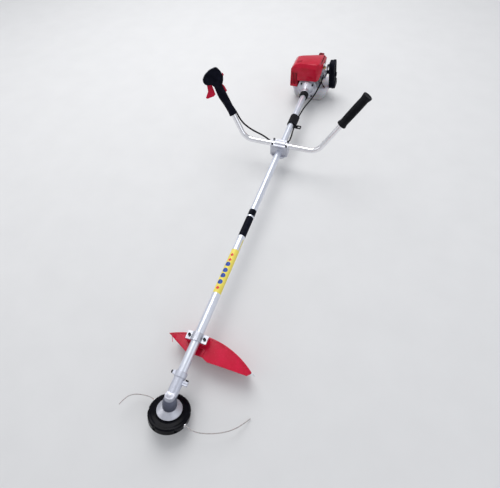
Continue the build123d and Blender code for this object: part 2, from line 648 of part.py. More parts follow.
def flywheel():
    """Flywheel with cooling fins, and the boss that carries the clutch shoes."""
    disc = tube_lathe([
        (6.0, 1557), (14, 1557), (14, 1572), (44, 1578), (44, 1590), (16, 1590), (6.0, 1590)])
    fin_count = 16
    fin = block((20, 1588, -1.2), (43, 1601, 1.2))
    for index in range(fin_count):
        disc += Rot(0, index * 360 / fin_count, 0) * fin
    carrier = rod(14.0, (0, 1547, 0), (0, 1557, 0)) - rod(6.0, (0, 1546, 0), (0, 1558, 0))
    return disc + carrier


def crankshaft():
    """Crankshaft with its throw up, and the connecting rod's big end round the pin."""
    shaft = rod(6.0, (0, 1547, 0), (0, 1628, 0)) + rod(6.0, (0, 1646, 0), (0, 1704, 0))
    webs = rod(20.0, (0, 1624, 0), (0, 1631, 0)) + rod(20.0, (0, 1643, 0), (0, 1650, 0))
    pin = rod(5.0, (0, 1630, CRANK_THROW), (0, 1644, CRANK_THROW))
    big_end = rod(9.0, (0, 1633, CRANK_THROW), (0, 1641, CRANK_THROW))
    return shaft + webs + pin + big_end


# ---- engine -------------------------------------------------------------------------------------
def crankcase():
    """Crankcase with its two main bearings and the seat for the cylinder."""
    case = prism_y([(-38, -30), (-26, -46), (26, -46), (38, -30), (38, 40), (-38, 40)],
                   CRANKCASE_FRONT, 1668, 5.0)
    case -= rod(26.5, (0, 1620, 0), (0, 1654, 0))
    case -= rod(6.0 + RUN_FIT, (0, 1600, 0), (0, 1670, 0))
    case -= rod(BORE_RADIUS + 1, (0, CYLINDER_STATION, 10), (0, CYLINDER_STATION, 41))
    return case


def cylinder():
    """Finned cylinder, closed at the top, with a plug hole behind."""
    barrel = rod(23.0, (0, CYLINDER_STATION, 40.3), (0, CYLINDER_STATION, 97))
    fin_count = 7
    for index in range(fin_count):
        low = 48 + index * 7
        barrel += block((-31, CYLINDER_STATION - 31, low), (31, CYLINDER_STATION + 31, low + 2.4))
    barrel -= rod(BORE_RADIUS, (0, CYLINDER_STATION, 40), (0, CYLINDER_STATION, 90))
    barrel -= rod(5.0, (0, CYLINDER_STATION, 82), (0, CYLINDER_STATION + 40, 82))
    return barrel


def piston():
    """Piston at the top of its stroke."""
    crown = rod(BORE_RADIUS - PISTON_FIT, (0, CYLINDER_STATION, 52), (0, CYLINDER_STATION, 76))
    crown -= rod(14.5, (0, CYLINDER_STATION, 51), (0, CYLINDER_STATION, 71))
    return crown + rod(3.5, (-16, CYLINDER_STATION, 62), (16, CYLINDER_STATION, 62))


def connecting_rod():
    """Shank and small end of the connecting rod, round the gudgeon pin."""
    shank = block((-4, 1634, 24.8), (4, 1640, 60))
    eye = rod(6.5, (-4, CYLINDER_STATION, 62), (4, CYLINDER_STATION, 62))
    return shank + eye - rod(3.5 + SEAT_FIT, (-10, CYLINDER_STATION, 62),
                             (10, CYLINDER_STATION, 62))


def spark_plug():
    """Spark plug and its rubber cap, behind the cylinder."""
    plug = rod(4.95, (0, 1657, 82), (0, 1669, 82)) + rod(8.0, (0, 1669, 82), (0, 1674, 82))
    return plug + rod(7.0, (0, 1674, 82), (0, 1694, 82))


COVER_FRONT = [(-54, 38), (52, 46), (60, 72), (60, 96), (44, 121), (0, 124), (-45, 121),
               (-74, 112), (-86, 98), (-88, 84), (-54, 84)]
COVER_SIDE = [(1552, 5), (1552, 104), (1563, 121), (1610, 124), (1684, 113), (1700, 94),
              (1700, 5)]
COVER_PLAN = [(-100, 1540), (34.8, 1540), (62, 1582), (62, 1704), (-34, 1704), (-72, 1684),
              (-100, 1655)]
# The same three outlines for the hollow, one wall thickness further in and open below.
HOLLOW_FRONT = [(-51, -10), (49, -10), (57, 72.5), (57, 95.2), (42.3, 118), (0, 121),
                (-44.5, 118), (-72.4, 109.4), (-83.1, 96.8), (-84.7, 87), (-51, 87)]
HOLLOW_SIDE = [(1555, -10), (1555, 103), (1564.6, 118), (1610, 121), (1682.6, 110.2),
               (1697, 93), (1697, -10)]
HOLLOW_PLAN = [(-97, 1543), (33.2, 1543), (59.5, 1583.6), (59.5, 1701), (-33.2, 1701),
               (-70.2, 1681.6), (-97, 1654)]


def engine_cover():
    """Moulded top cover: a faceted shell, open below and at the back."""
    outer = prism_y(COVER_FRONT, 1540, 1710, 5.0) & prism_x(COVER_SIDE, -100, 70, 6.0)
    outer &= prism_z(COVER_PLAN, 0, 130)
    hollow = prism_y(HOLLOW_FRONT, 1540, 1710) & prism_x(HOLLOW_SIDE, -100, 70)
    shell = outer - (hollow & prism_z(HOLLOW_PLAN, -12, 130))
    shell -= block((40, 1612, 30), (70, 1668, 97))
    shell -= rod(9.0, (-60, CYLINDER_STATION, 58), (-40, CYLINDER_STATION, 58))
    return shell - block((-52, 1690, 0), (56, 1712, 66))


STARTER_X = 28.0
STARTER_TOP = 86.0
ROPE_BOTTOM = 46.0


def recoil_housing():
    """Rear housing that holds the recoil starter."""
    cup = tube_lathe([(0, 1729), (44, 1729), (50, 1724), (52, 1712), (52, 1706.3), (0, 1706.3)])
    cup -= tube_lathe([(0, 1726), (42, 1726), (49, 1722), (49, 1706), (0, 1706)])
    spigot = rod(5.0, (0, 1712, 0), (0, 1727, 0))
    tower = block((STARTER_X - 9, 1708, 30), (STARTER_X + 9, 1724, STARTER_TOP))
    tower -= rod(2.2, (STARTER_X, 1716, 0), (STARTER_X, 1716, 100))
    tower -= rod(49, (0, 1700, 0), (0, 1724.5, 0))
    bridge = pipe(50, 44, (0, 1668.3, 0), (0, 1708.0, 0))
    bridge -= block((-60, 1660, -20), (60, 1710, 60))
    return cup + spigot + tower + bridge


def starter_pulley():
    """Rope pulley on the recoil housing's spigot."""
    return pipe(20, 5.0 + RUN_FIT, (0, 1713, 0), (0, 1724, 0)) + (
        pipe(24, 5.0 + RUN_FIT, (0, 1713, 0), (0, 1714.5, 0))) + (
        pipe(24, 5.0 + RUN_FIT, (0, 1722.5, 0), (0, 1724, 0)))


def starter_handle():
    """T-shaped starter handle, resting on top of its tower."""
    half = [(3, 0.3), (4, 4), (12, 6), (14, 12), (10, 16)]
    left = [(STARTER_X - x, STARTER_TOP + z) for x, z in half]
    right = [(STARTER_X + x, STARTER_TOP + z) for x, z in reversed(half)]
    return prism_y(left + right, 1708, 1724, 1.5)


def starter_rope():
    """Starter rope from the pulley up to its handle."""
    return rod(1.6, (STARTER_X, 1716, ROPE_BOTTOM), (STARTER_X, 1716, STARTER_TOP + 0.2))


MUFFLER_LOW = (-88, 1586, -2)
MUFFLER_HIGH = (-60, 1682, 78)


def muffler():
    """Pressed steel muffler box and its pipe to the exhaust port."""
    box = fillet(block(MUFFLER_LOW, MUFFLER_HIGH).edges(), 5.0)
    return box + rod(8.0, (-62, CYLINDER_STATION, 58), (-31.2, CYLINDER_STATION, 58))


def muffler_cover():
    """Ribbed guard round the muffler, open at the back and on the engine's side."""
    shell = block((-95, 1572, -9), (-55, 1690, 83.6))
    shell = fillet(shell.edges().filter_by(Axis.Z), 5.0)
    shell -= block((-92, 1575, -6), (-50, 1700, 81))
    shell -= block((-60.5, 1560, 78), (-50, 1700, 90))
    slot_count = 5
    for index in range(slot_count):
        x = -88 + index * 6.2
        shell -= block((x, 1570, 2), (x + 2.6, 1580, 68))
        y = 1594 + index * 18
        shell -= block((-100, y, 2), (-88, y + 8, 68))
    return shell


def carburettor():
    """Intake block, carburettor body, throttle spindle and cable post."""
    intake = block((31.3, 1624, 46), (48, 1650, 72))
    body = fillet(block((48, 1620, 34), (80, 1656, 76)).edges(), 3.0)
    bowl = rod(13, (64, 1638, 22), (64, 1638, 35))
    post = block((58, 1615, 43), (76, 1621, 54))
    cup = rod(10.5, (56, 1612, 24), (56, 1625, 24)) - rod(8.8, (56, 1611, 24), (56, 1623, 24))
    spindle = rod(2.5, (64, 1638, 75), (64, 1638, 84))
    ear = block((74, 1640, 74), (80, 1648, 90)) + rod(2.0, (79, 1644, 86), (83.8, 1644, 86))
    screw = rod(3.0, (70, 1614, 60), (70, 1621, 60)) + rod(4.2, (70, 1611, 60), (70, 1614, 60))
    return intake + body + bowl + post + cup + spindle + ear + screw


def throttle_valve_lever():
    """Lever on the carburettor's throttle spindle."""
    arm = prism_z([(58, 1644), (57, 1634), (64, 1620), (70, 1622), (71, 1640), (66, 1645)],
                  77, 79.5, 1.0)
    return arm - rod(2.5 + RUN_FIT, (64, 1638, 70), (64, 1638, 90))


def primer_bulb():
    """Soft bulb that is pressed to prime the carburettor."""
    dome = Sphere(8.5) & block((-10, -10, 0), (10, 10, 10))
    frame = Plane(origin=(56, 1615.5, 24), x_dir=(1, 0, 0), z_dir=(0, -1, 0)).location
    return frame * (dome + Cylinder(8.5, 3.0, align=(Align.CENTER, Align.CENTER, Align.MAX)))


# The air cleaner is drawn upright and leans about a line along its top.
CLEANER_FRAME = Pos(98, 0, 95) * Rot(0, -8, 0) * Pos(-98, 0, -95)
CLEANER_STATION = 1652.0


def cleaner_outline(half_length, low, high):
    """Side outline of the air cleaner: a tall plate with its corners cut."""
    start = CLEANER_STATION - half_length
    end = CLEANER_STATION + half_length
    return [(start + 9, low), (end - 9, low), (end, low + 12), (end, high - 12),
            (end - 11, high), (start + 11, high), (start, high - 12), (start, low + 12)]


def air_cleaner_case():
    """Inner half of the air cleaner, which stands on edge beside the carburettor."""
    tray = prism_x(cleaner_outline(30, -24, 103), 86, 98, 5.0)
    tray -= prism_x(cleaner_outline(27, -21, 100), 89, 99)
    tray += rod(2.5, (88, CLEANER_STATION, 40), (113, CLEANER_STATION, 40))
    case = CLEANER_FRAME * tray + rod(9, (80.2, 1638, 56), (93.0, 1638, 56))
    return case - rod(6, (80, 1638, 56), (97.5, 1638, 56))


def air_filter():
    """Foam filter element in the air cleaner."""
    element = prism_x(cleaner_outline(25, -19, 98), 91.5, 98)
    element -= rod(3.2, (80, CLEANER_STATION, 40), (100, CLEANER_STATION, 40))
    return CLEANER_FRAME * element


def air_cleaner_cover():
    """Outer half of the air cleaner, with its round knob."""
    shell = prism_x(cleaner_outline(32, -26, 105), 98.3, 115, 5.0)
    shell -= prism_x(cleaner_outline(29, -23, 102), 98, 112)
    shell += rod(11, (114.5, CLEANER_STATION, 40), (120, CLEANER_STATION, 40))
    shell -= rod(2.8, (98, CLEANER_STATION, 40), (113.5, CLEANER_STATION, 40))
    return CLEANER_FRAME * shell


def choke_lever():
    """Choke lever between the carburettor and the air cleaner."""
    lever = prism_x([(1626, 84), (1632, 80), (1650, 82), (1650, 90), (1636, 92), (1622, 104),
                     (1616, 100)], 80.6, 83.4, 1.5)
    return lever - rod(2.0 + RUN_FIT, (80, 1644, 86), (84, 1644, 86))


TANK_RINGS = [(TANK_BASE, 58, 40, 8), (-80, 70, 47, 12), (-66, 82, 55, 20), (-45, 91, 60, 26),
              (-26, 94, 63, 26), (TANK_TOP, 90, 60, 24)]
TANK_MIDDLES = [TANK_CENTRE, 1646, 1650, 1655, 1657, 1658]
TANK_X = 5.0
FILLER_X = -60.0
FILLER_Z = -56.0


def fuel_tank():
    """Bowl-shaped tank with a flat base, hollowed on top to clear the crankcase."""
    rings = []
    for (height, half_x, half_y, corner), middle in zip(TANK_RINGS, TANK_MIDDLES):
        ring = RectangleRounded(2 * half_x, 2 * half_y, corner)
        rings.append(Pos(TANK_X, middle, height) * ring)
    bowl = loft(rings)
    bowl -= block((-43, 1580, -50), (43, 1740, 0))
    bowl -= rod(52, (0, 1590, 0), (0, 1710, 0))
    bowl -= rod(54, (0, 1704, 0), (0, 1740, 0))
    return bowl + rod(13, (FILLER_X, 1690, FILLER_Z), (FILLER_X, 1731, FILLER_Z))


def fuel_cap():
    """Screw cap on the tank's filler neck, with finger ribs."""
    cap = rod(18, (0, 1724, 0), (0, 1740, 0)) - rod(13 + RUN_FIT, (0, 1716, 0), (0, 1731.3, 0))
    rib_count = 10
    for index in range(rib_count):
        rib = block((17, 1726, -1.6), (19.5, 1739, 1.6))
        cap += Rot(0, index * 360 / rib_count, 0) * rib
    return Pos(FILLER_X, 0, FILLER_Z) * cap


# ---- export -------------------------------------------------------------------------------------
PARTS = {
    "main_tube": main_tube,
    "drive_shaft": drive_shaft,
    "drive_shaft_bushes": drive_shaft_bushes,
    "tube_collar": tube_collar,
    "gear_case": gear_case,
    "gear_case_bearings": gear_case_bearings,
    "pinion_gear": pinion_gear,
    "output_gear": output_gear,
    "output_shaft": output_shaft,
    "holder_flange": holder_flange,
    "line_head_housing": line_head_housing,
    "line_head_cover": line_head_cover,
    "line_spool": line_spool,
    "tap_knob": tap_knob,
    "line_eyelets": line_eyelets,
    "trimmer_line_right": lambda: trimmer_line("trimmer_line_right", RIGHT_LINE),
    "trimmer_line_left": lambda: trimmer_line("trimmer_line_left", LEFT_LINE),
    "debris_guard": debris_guard,
    "guard_bracket": guard_bracket,
    "line_cutter_blade": line_cutter_blade,
    "handlebar": handlebar,
    "handle_clamp_base": handle_clamp_base,
    "handle_clamp_mid": handle_clamp_mid,
    "handle_clamp_cap": handle_clamp_cap,
    "right_grip": right_grip,
    "throttle_housing_front": lambda: throttle_housing_half(True),
    "throttle_housing_rear": lambda: throttle_housing_half(False),
    "throttle_trigger": throttle_trigger,
    "lockout_lever": lockout_lever,
    "stop_switch": stop_switch,
    "throttle_cable": throttle_cable,
    "hanger_band": hanger_band,
    "socket_screws": socket_screws,
    "clutch_housing": clutch_housing,
    "clutch_drum": clutch_drum,
    "clutch_shoes": clutch_shoes,
    "fan_housing": fan_housing,
    "flywheel": flywheel,
    "crankshaft": crankshaft,
    "crankcase": crankcase,
    "cylinder": cylinder,
    "piston": piston,
    "connecting_rod": connecting_rod,
    "spark_plug": spark_plug,
    "engine_cover": engine_cover,
    "recoil_housing": recoil_housing,
    "starter_pulley": starter_pulley,
    "starter_handle": starter_handle,
    "starter_rope": starter_rope,
    "muffler": muffler,
    "muffler_cover": muffler_cover,
    "carburettor": carburettor,
    "throttle_valve_lever": throttle_valve_lever,
    "primer_bulb": primer_bulb,
    "choke_lever": choke_lever,
    "air_cleaner_case": air_cleaner_case,
    "air_filter": air_filter,
    "air_cleaner_cover": air_cleaner_cover,
    "fuel_tank": fuel_tank,
    "fuel_cap": fuel_cap,
}

os.makedirs("parts", exist_ok=True)
for name, make in PARTS.items():
    made = make()
    solids = []
    for piece in made if isinstance(made, list) else [made]:
        solids.extend(piece.solids())
    placed = [solid.moved(GROUND_FRAME) for solid in solids]
    shape = placed[0] if len(placed) == 1 else Compound(children=placed)
    export_step(shape, f"parts/{name}.step")
    print(name, len(placed), "solid(s)")
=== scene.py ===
"""Looks of a petrol brush cutter lying on a pale floor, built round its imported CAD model.

Metres throughout. Places are given in the tube frame: across the main tube (+X is the air cleaner's
side), along it from the line head's axis (the station), and above its axis. at() turns such a place
into the row frame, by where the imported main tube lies.
"""
import json
import math

import bmesh
import bpy
from mathutils import Matrix, Vector


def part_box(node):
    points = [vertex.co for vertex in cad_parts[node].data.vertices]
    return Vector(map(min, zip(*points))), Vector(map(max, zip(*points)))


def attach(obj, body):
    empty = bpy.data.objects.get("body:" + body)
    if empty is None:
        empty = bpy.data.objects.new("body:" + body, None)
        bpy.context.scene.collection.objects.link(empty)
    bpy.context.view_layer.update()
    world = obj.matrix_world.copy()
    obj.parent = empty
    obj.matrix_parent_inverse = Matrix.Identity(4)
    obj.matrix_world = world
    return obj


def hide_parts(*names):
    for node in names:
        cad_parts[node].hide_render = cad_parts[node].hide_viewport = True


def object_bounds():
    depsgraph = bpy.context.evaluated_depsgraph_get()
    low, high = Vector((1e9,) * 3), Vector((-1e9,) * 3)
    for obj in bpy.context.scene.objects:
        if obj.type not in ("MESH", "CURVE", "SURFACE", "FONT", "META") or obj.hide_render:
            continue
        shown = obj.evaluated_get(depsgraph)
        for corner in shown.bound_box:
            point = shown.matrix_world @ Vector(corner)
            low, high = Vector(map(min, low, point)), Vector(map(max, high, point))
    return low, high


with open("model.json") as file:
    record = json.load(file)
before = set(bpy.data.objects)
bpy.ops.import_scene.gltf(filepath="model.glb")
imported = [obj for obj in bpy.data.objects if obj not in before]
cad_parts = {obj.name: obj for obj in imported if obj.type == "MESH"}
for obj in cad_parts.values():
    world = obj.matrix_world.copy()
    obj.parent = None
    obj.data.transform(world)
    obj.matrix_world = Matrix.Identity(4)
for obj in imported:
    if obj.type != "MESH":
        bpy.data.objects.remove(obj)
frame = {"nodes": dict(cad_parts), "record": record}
cad_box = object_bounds()

# ---- the tube frame -----------------------------------------------------------------------------
TUBE_START = 0.052           # station of the main tube's lower end
TUBE_RADIUS = 0.014
tube_low, tube_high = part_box("main_tube")
TUBE_ORIGIN = Vector((
    (tube_low.x + tube_high.x) / 2, tube_low.y - TUBE_START, (tube_low.z + tube_high.z) / 2))


def at(across, station, above):
    """Row frame point of a place in the tube frame."""
    return TUBE_ORIGIN + Vector((across, station, above))


def placement(origin, along, across):
    """Placement whose +Z runs along, and whose +X is the part of across that is square to it."""
    z_axis = Vector(along).normalized()
    x_axis = (Vector(across) - z_axis * z_axis.dot(Vector(across))).normalized()
    y_axis = z_axis.cross(x_axis)
    return Matrix.Translation(origin) @ Matrix((x_axis, y_axis, z_axis)).transposed().to_4x4()


HEAD_TILT = math.radians(30)
HEAD_AXIS = Vector((0, math.sin(HEAD_TILT), math.cos(HEAD_TILT)))
TUBE = Matrix.Translation(TUBE_ORIGIN)
ALONG_TUBE = placement(TUBE_ORIGIN, (0, 1, 0), (1, 0, 0))
HEAD = placement(TUBE_ORIGIN, HEAD_AXIS, (1, 0, 0))
HANDLE_STATION = 1.067
LEFT_CORNER = at(-0.161, HANDLE_STATION, 0.0295)
RIGHT_CORNER = at(0.161, HANDLE_STATION, 0.0295)
LEFT_GRIP = placement(LEFT_CORNER, (-0.141, 0.052, 0.242), (-0.75, -0.64, -0.30))
RIGHT_GRIP = placement(RIGHT_CORNER, (0.141, 0.052, 0.242), (1, 0, 0))


# ---- camera, light and floor --------------------------------------------------------------------
CAMERA_PLACE = at(0.2994, -0.0484, 0.9896)
CAMERA_AIM = (-0.2185, 0.5095, -0.8323)
CAMERA_ROLL = math.radians(-4.58)
CAMERA_LENS = 23.76
FLOOR_SIZE = 60.0


def add_camera():
    """Camera above the line head's side, looking down along the tube."""
    data = bpy.data.cameras.new("camera")
    data.lens = CAMERA_LENS
    data.clip_end = 100.0
    camera = bpy.data.objects.new("camera", data)
    bpy.context.scene.collection.objects.link(camera)
    aim = Vector(CAMERA_AIM).normalized()
    level_right = aim.cross(Vector((0, 0, 1))).normalized()
    level_up = level_right.cross(aim)
    right = level_right * math.cos(CAMERA_ROLL) + level_up * math.sin(CAMERA_ROLL)
    up = level_up * math.cos(CAMERA_ROLL) - level_right * math.sin(CAMERA_ROLL)
    turn = Matrix((right, up, -aim)).transposed().to_4x4()
    camera.matrix_world = Matrix.Translation(CAMERA_PLACE) @ turn
    bpy.context.scene.camera = camera


def add_light(name, place, target, size, power, colour=(1, 1, 1)):
    """Large square area light aimed at a point."""
    data = bpy.data.lights.new(name, "AREA")
    data.size = size
    data.energy = power
    data.color = colour
    light = bpy.data.objects.new(name, data)
    bpy.context.scene.collection.objects.link(light)
    light.location = place
    light.rotation_euler = (Vector(target) - Vector(place)).to_track_quat("-Z", "Y").to_euler()


def add_studio():
    """Soft box overhead, weaker fills round it, and an even pale surround."""
    middle = (cad_box[0] + cad_box[1]) / 2
    add_light("softbox_top", middle + Vector((-0.9, 1.5, 2.9)), middle, 2.6, 80)
    add_light("fill_right", middle + Vector((3.2, -0.8, 1.8)), middle, 2.4, 14, (0.93, 0.96, 1.0))
    add_light("fill_left", middle + Vector((-3.0, -1.2, 1.6)), middle, 2.0, 10, (1.0, 0.98, 0.95))
    world = bpy.data.worlds.new("surround")
    world.use_nodes = True
    surround = world.node_tree.nodes["Background"]
    surround.inputs["Color"].default_value = (0.93, 0.95, 1.0, 1)
    surround.inputs["Strength"].default_value = 0.60
    bpy.context.scene.world = world
    bpy.context.scene.view_settings.view_transform = "Standard"


# ---- material helpers ---------------------------------------------------------------------------
def new_material(name, **constants):
    """Principled material; each constant is set on the socket of that name, with _ for a space."""
    material = bpy.data.materials.new(name)
    material.use_nodes = True
    shader = material.node_tree.nodes["Principled BSDF"]
    for socket, value in constants.items():
        shader.inputs[socket.replace("_", " ")].default_value = value
    return material, material.node_tree, shader


def surface_noise(tree, scale, detail=3.0, stretch=(1, 1, 1)):
    """Noise over the piece in its own space; scale is in features per metre."""
    place = tree.nodes.new("ShaderNodeTexCoord")
    mapping = tree.nodes.new("ShaderNodeMapping")
    mapping.inputs["Scale"].default_value = stretch
    noise = tree.nodes.new("ShaderNodeTexNoise")
    noise.inputs["Scale"].default_value = scale
    noise.inputs["Detail"].default_value = detail
    tree.links.new(place.outputs["Object"], mapping.inputs["Vector"])
    tree.links.new(mapping.outputs["Vector"], noise.inputs["Vector"])
    return noise.outputs["Fac"]


def surface_cells(tree, scale):
    """Distance to the middle of random cells, in the piece's own space."""
    place = tree.nodes.new("ShaderNodeTexCoord")
    cells = tree.nodes.new("ShaderNodeTexVoronoi")
    cells.inputs["Scale"].default_value = scale
    tree.links.new(place.outputs["Object"], cells.inputs["Vector"])
    return cells.outputs["Distance"]


def ramp(tree, factor, *stops):
    """Colour ramp from (position, colour) stops."""
    node = tree.nodes.new("ShaderNodeValToRGB")
    elements = node.color_ramp.elements
    while len(elements) < len(stops):
        elements.new(0.5)
    for element, (position, colour) in zip(elements, stops):
        element.position = position
        element.color = (*colour, 1)
    tree.links.new(factor, node.inputs["Fac"])
    return node.outputs["Color"]


def remap(tree, factor, low, high, start=0.3, end=0.7):
    """Value from low to high as the factor goes from start to end."""
    node = tree.nodes.new("ShaderNodeMapRange")
    for socket, value in (("From Min", start), ("From Max", end), ("To Min", low), ("To Max", high)):
        node.inputs[socket].default_value = value
    tree.links.new(factor, node.inputs["Value"])
    return node.outputs["Result"]


def bump(tree, shader, height, depth, strength=1.0, under=None):
    """Bump of a real depth in metres on the shader's normal, over an earlier bump if there is one."""
    node = tree.nodes.new("ShaderNodeBump")
    node.inputs["Distance"].default_value = depth
    node.inputs["Strength"].default_value = strength
    tree.links.new(height, node.inputs["Height"])
    if under is not None:
        tree.links.new(under, node.inputs["Normal"])
    tree.links.new(node.outputs["Normal"], shader.inputs["Normal"])
    return node.outputs["Normal"]


def mottled(name, dark, light, rough, grain, depth, tone_scale=45.0, stretch=(1, 1, 1), **constants):
    """Material whose colour drifts between two tones, with a fine grain and patchy gloss."""
    material, tree, shader = new_material(name, **constants)
    tone = surface_noise(tree, tone_scale, 4.0, stretch)
    tree.links.new(ramp(tree, tone, (0.3, dark), (0.7, light)), shader.inputs["Base Color"])
    wear = surface_noise(tree, tone_scale * 5, 5.0, stretch)
    tree.links.new(remap(tree, wear, rough[0], rough[1]), shader.inputs["Roughness"])
    fine = surface_noise(tree, grain, 3.0, stretch)
    bump(tree, shader, fine, depth)
    return material


def tank_material():
    """Milky blow-moulded plastic, a little darker towards the bottom: painted shade near the floor."""
    material, tree, shader = new_material(
        "tank_plastic", Subsurface_Weight=0.35, Subsurface_Scale=0.008, Coat_Weight=0.15,
        Coat_Roughness=0.25, IOR=1.5)
    place = tree.nodes.new("ShaderNodeTexCoord")
    split = tree.nodes.new("ShaderNodeSeparateXYZ")
    tree.links.new(place.outputs["Object"], split.inputs["Vector"])
    # Painted shade: the colour turns darker below this height above the floor.
    painted_shade_top = 0.045
    level = remap(tree, split.outputs["Z"], 0.0, 1.0, painted_shade_top - 0.012, painted_shade_top + 0.012)
    cloud = surface_noise(tree, 60.0)
    blend = tree.nodes.new("ShaderNodeMath")
    blend.operation = "MULTIPLY_ADD"
    blend.inputs[1].default_value = 0.25
    tree.links.new(cloud, blend.inputs[0])
    tree.links.new(level, blend.inputs[2])
    colour = ramp(tree, blend.outputs["Value"], (0.0, (0.43, 0.42, 0.43)), (0.55, (0.50, 0.49, 0.53)),
                  (1.0, (0.58, 0.57, 0.62)))
    tree.links.new(colour, shader.inputs["Base Color"])
    tree.links.new(remap(tree, cloud, 0.28, 0.42), shader.inputs["Roughness"])
    bump(tree, shader, surface_noise(tree, 350.0), 0.0002)
    return material


def foam_material():
    """Open-cell foam."""
    material, tree, shader = new_material("filter_foam", Roughness=0.95)
    cells = surface_cells(tree, 900.0)
    tree.links.new(ramp(tree, cells, (0.0, (0.02, 0.02, 0.022)), (0.6, (0.12, 0.12, 0.13))),
                   shader.inputs["Base Color"])
    bump(tree, shader, cells, 0.0008)
    return material


def make_materials():
    """One material for each of the record's slots."""
    return {
        "tube_aluminium": mottled(
            "tube_aluminium", (0.66, 0.69, 0.77), (0.78, 0.81, 0.89), (0.30, 0.42), 2200.0, 0.00002,
            120.0, (1, 0.02, 1), Metallic=0.82),
        "cast_aluminium": mottled(
            "cast_aluminium", (0.47, 0.48, 0.54), (0.64, 0.65, 0.71), (0.36, 0.52), 900.0, 0.00012,
            Metallic=0.85),
        "bright_steel": mottled(
            "bright_steel", (0.80, 0.80, 0.82), (0.90, 0.90, 0.93), (0.12, 0.22), 1500.0, 0.00001,
            90.0, Metallic=0.95),
        "steel": mottled(
            "steel", (0.42, 0.43, 0.45), (0.58, 0.59, 0.61), (0.25, 0.4), 1800.0, 0.00003, 150.0,
            Metallic=1.0),
        "black_steel": mottled(
            "black_steel", (0.006, 0.006, 0.008), (0.022, 0.022, 0.026), (0.28, 0.42), 1600.0, 0.00004,
            200.0, Metallic=0.6),
        "red_plastic": mottled(
            "red_plastic", (0.48, 0.003, 0.026), (0.60, 0.005, 0.046), (0.20, 0.30), 500.0, 0.00004,
            40.0, Coat_Weight=0.12, Coat_Roughness=0.06, Specular_IOR_Level=0.16),
        "black_plastic": mottled(
            "black_plastic", (0.003, 0.0035, 0.007), (0.009, 0.010, 0.018), (0.32, 0.46), 1500.0,
            0.00006, 60.0, Specular_IOR_Level=0.03),
        "gloss_black_plastic": mottled(
            "gloss_black_plastic", (0.0015, 0.0015, 0.0025), (0.005, 0.005, 0.008), (0.10, 0.22), 700.0,
            0.00002, 70.0, Specular_IOR_Level=0.06),
        "black_rubber": mottled(
            "black_rubber", (0.004, 0.004, 0.006), (0.011, 0.011, 0.014), (0.5, 0.7), 1100.0, 0.00012,
            80.0, Specular_IOR_Level=0.12),
        "tank_plastic": tank_material(),
        "primer_plastic": mottled(
            "primer_plastic", (0.70, 0.66, 0.52), (0.82, 0.79, 0.66), (0.10, 0.2), 400.0, 0.00003,
            90.0, Transmission_Weight=0.45, IOR=1.48),
        "filter_foam": foam_material(),
        "line_nylon": mottled(
            "line_nylon", (0.30, 0.27, 0.265), (0.46, 0.43, 0.42), (0.25, 0.4), 900.0, 0.00003, 140.0,
            Subsurface_Weight=0.2, Subsurface_Scale=0.001),
        "bronze": mottled(
            "bronze", (0.45, 0.29, 0.12), (0.62, 0.43, 0.21), (0.3, 0.45), 1500.0, 0.00005, 150.0,
            Metallic=1.0),
        "dark_iron": mottled(
            "dark_iron", (0.10, 0.10, 0.11), (0.22, 0.22, 0.23), (0.45, 0.6), 900.0, 0.0001, 120.0,
            Metallic=0.8),
    }


MATERIALS = make_materials()


def cover_material():
    """The red plastic of the engine cover, polished so that its shoulder catches the light."""
    return mottled("red_cover", (0.42, 0.002, 0.018), (0.52, 0.004, 0.032), (0.16, 0.24), 500.0,
                   0.00003, 40.0, Coat_Weight=0.35, Coat_Roughness=0.03, Specular_IOR_Level=0.12)


def handle_material():
    """Dull dark red of the starter handle."""
    return mottled("red_handle", (0.10, 0.001, 0.006), (0.17, 0.002, 0.012), (0.4, 0.55), 900.0,
                   0.00008, 60.0, Specular_IOR_Level=0.1)


def dark_steel_material():
    """Sooted steel of the muffler."""
    return mottled("sooted_steel", (0.02, 0.012, 0.010), (0.06, 0.04, 0.035), (0.5, 0.7), 800.0,
                   0.0001, 60.0, Metallic=0.6)


def gear_case_material():
    """Cast metal that is blue-grey on the barrel and pale above it."""
    material, tree, shader = new_material("gear_case_metal", Metallic=0.8)
    place = tree.nodes.new("ShaderNodeNewGeometry")
    along = tree.nodes.new("ShaderNodeVectorMath")
    along.operation = "DOT_PRODUCT"
    along.inputs[1].default_value = HEAD_AXIS
    tree.links.new(place.outputs["Position"], along.inputs[0])
    edge = TUBE_ORIGIN.dot(HEAD_AXIS) + 0.011
    height = remap(tree, along.outputs["Value"], 0.0, 1.0, edge - 0.003, edge + 0.003)
    cloud = surface_noise(tree, 60.0)
    blend = tree.nodes.new("ShaderNodeMath")
    blend.operation = "MULTIPLY_ADD"
    blend.inputs[1].default_value = 0.2
    tree.links.new(cloud, blend.inputs[0])
    tree.links.new(height, blend.inputs[2])
    colour = ramp(tree, blend.outputs["Value"], (0.0, (0.10, 0.11, 0.155)), (0.3, (0.20, 0.21, 0.27)),
                  (0.9, (0.58, 0.60, 0.68)))
    tree.links.new(colour, shader.inputs["Base Color"])
    tree.links.new(remap(tree, cloud, 0.34, 0.50), shader.inputs["Roughness"])
    bump(tree, shader, surface_noise(tree, 900.0), 0.00012)
    return material


def floor_material():
    """Matt pale paper."""
    return mottled("floor_paper", (0.69, 0.69, 0.69), (0.71, 0.71, 0.71), (0.8, 0.9), 400.0, 0.0001, 8.0)


def dress_nodes():
    """Every CAD node gets its slot's material."""
    for part in frame["record"]["subparts"]:
        for material_slot in frame["nodes"][part["node"]].material_slots:
            material_slot.material = MATERIALS[part["material_slot"]]
    for material_slot in frame["nodes"]["gear_case"].material_slots:
        material_slot.material = gear_case_material()
    for node, make in (("muffler", dark_steel_material), ("starter_handle", handle_material)):
        for material_slot in frame["nodes"][node].material_slots:
            material_slot.material = make()


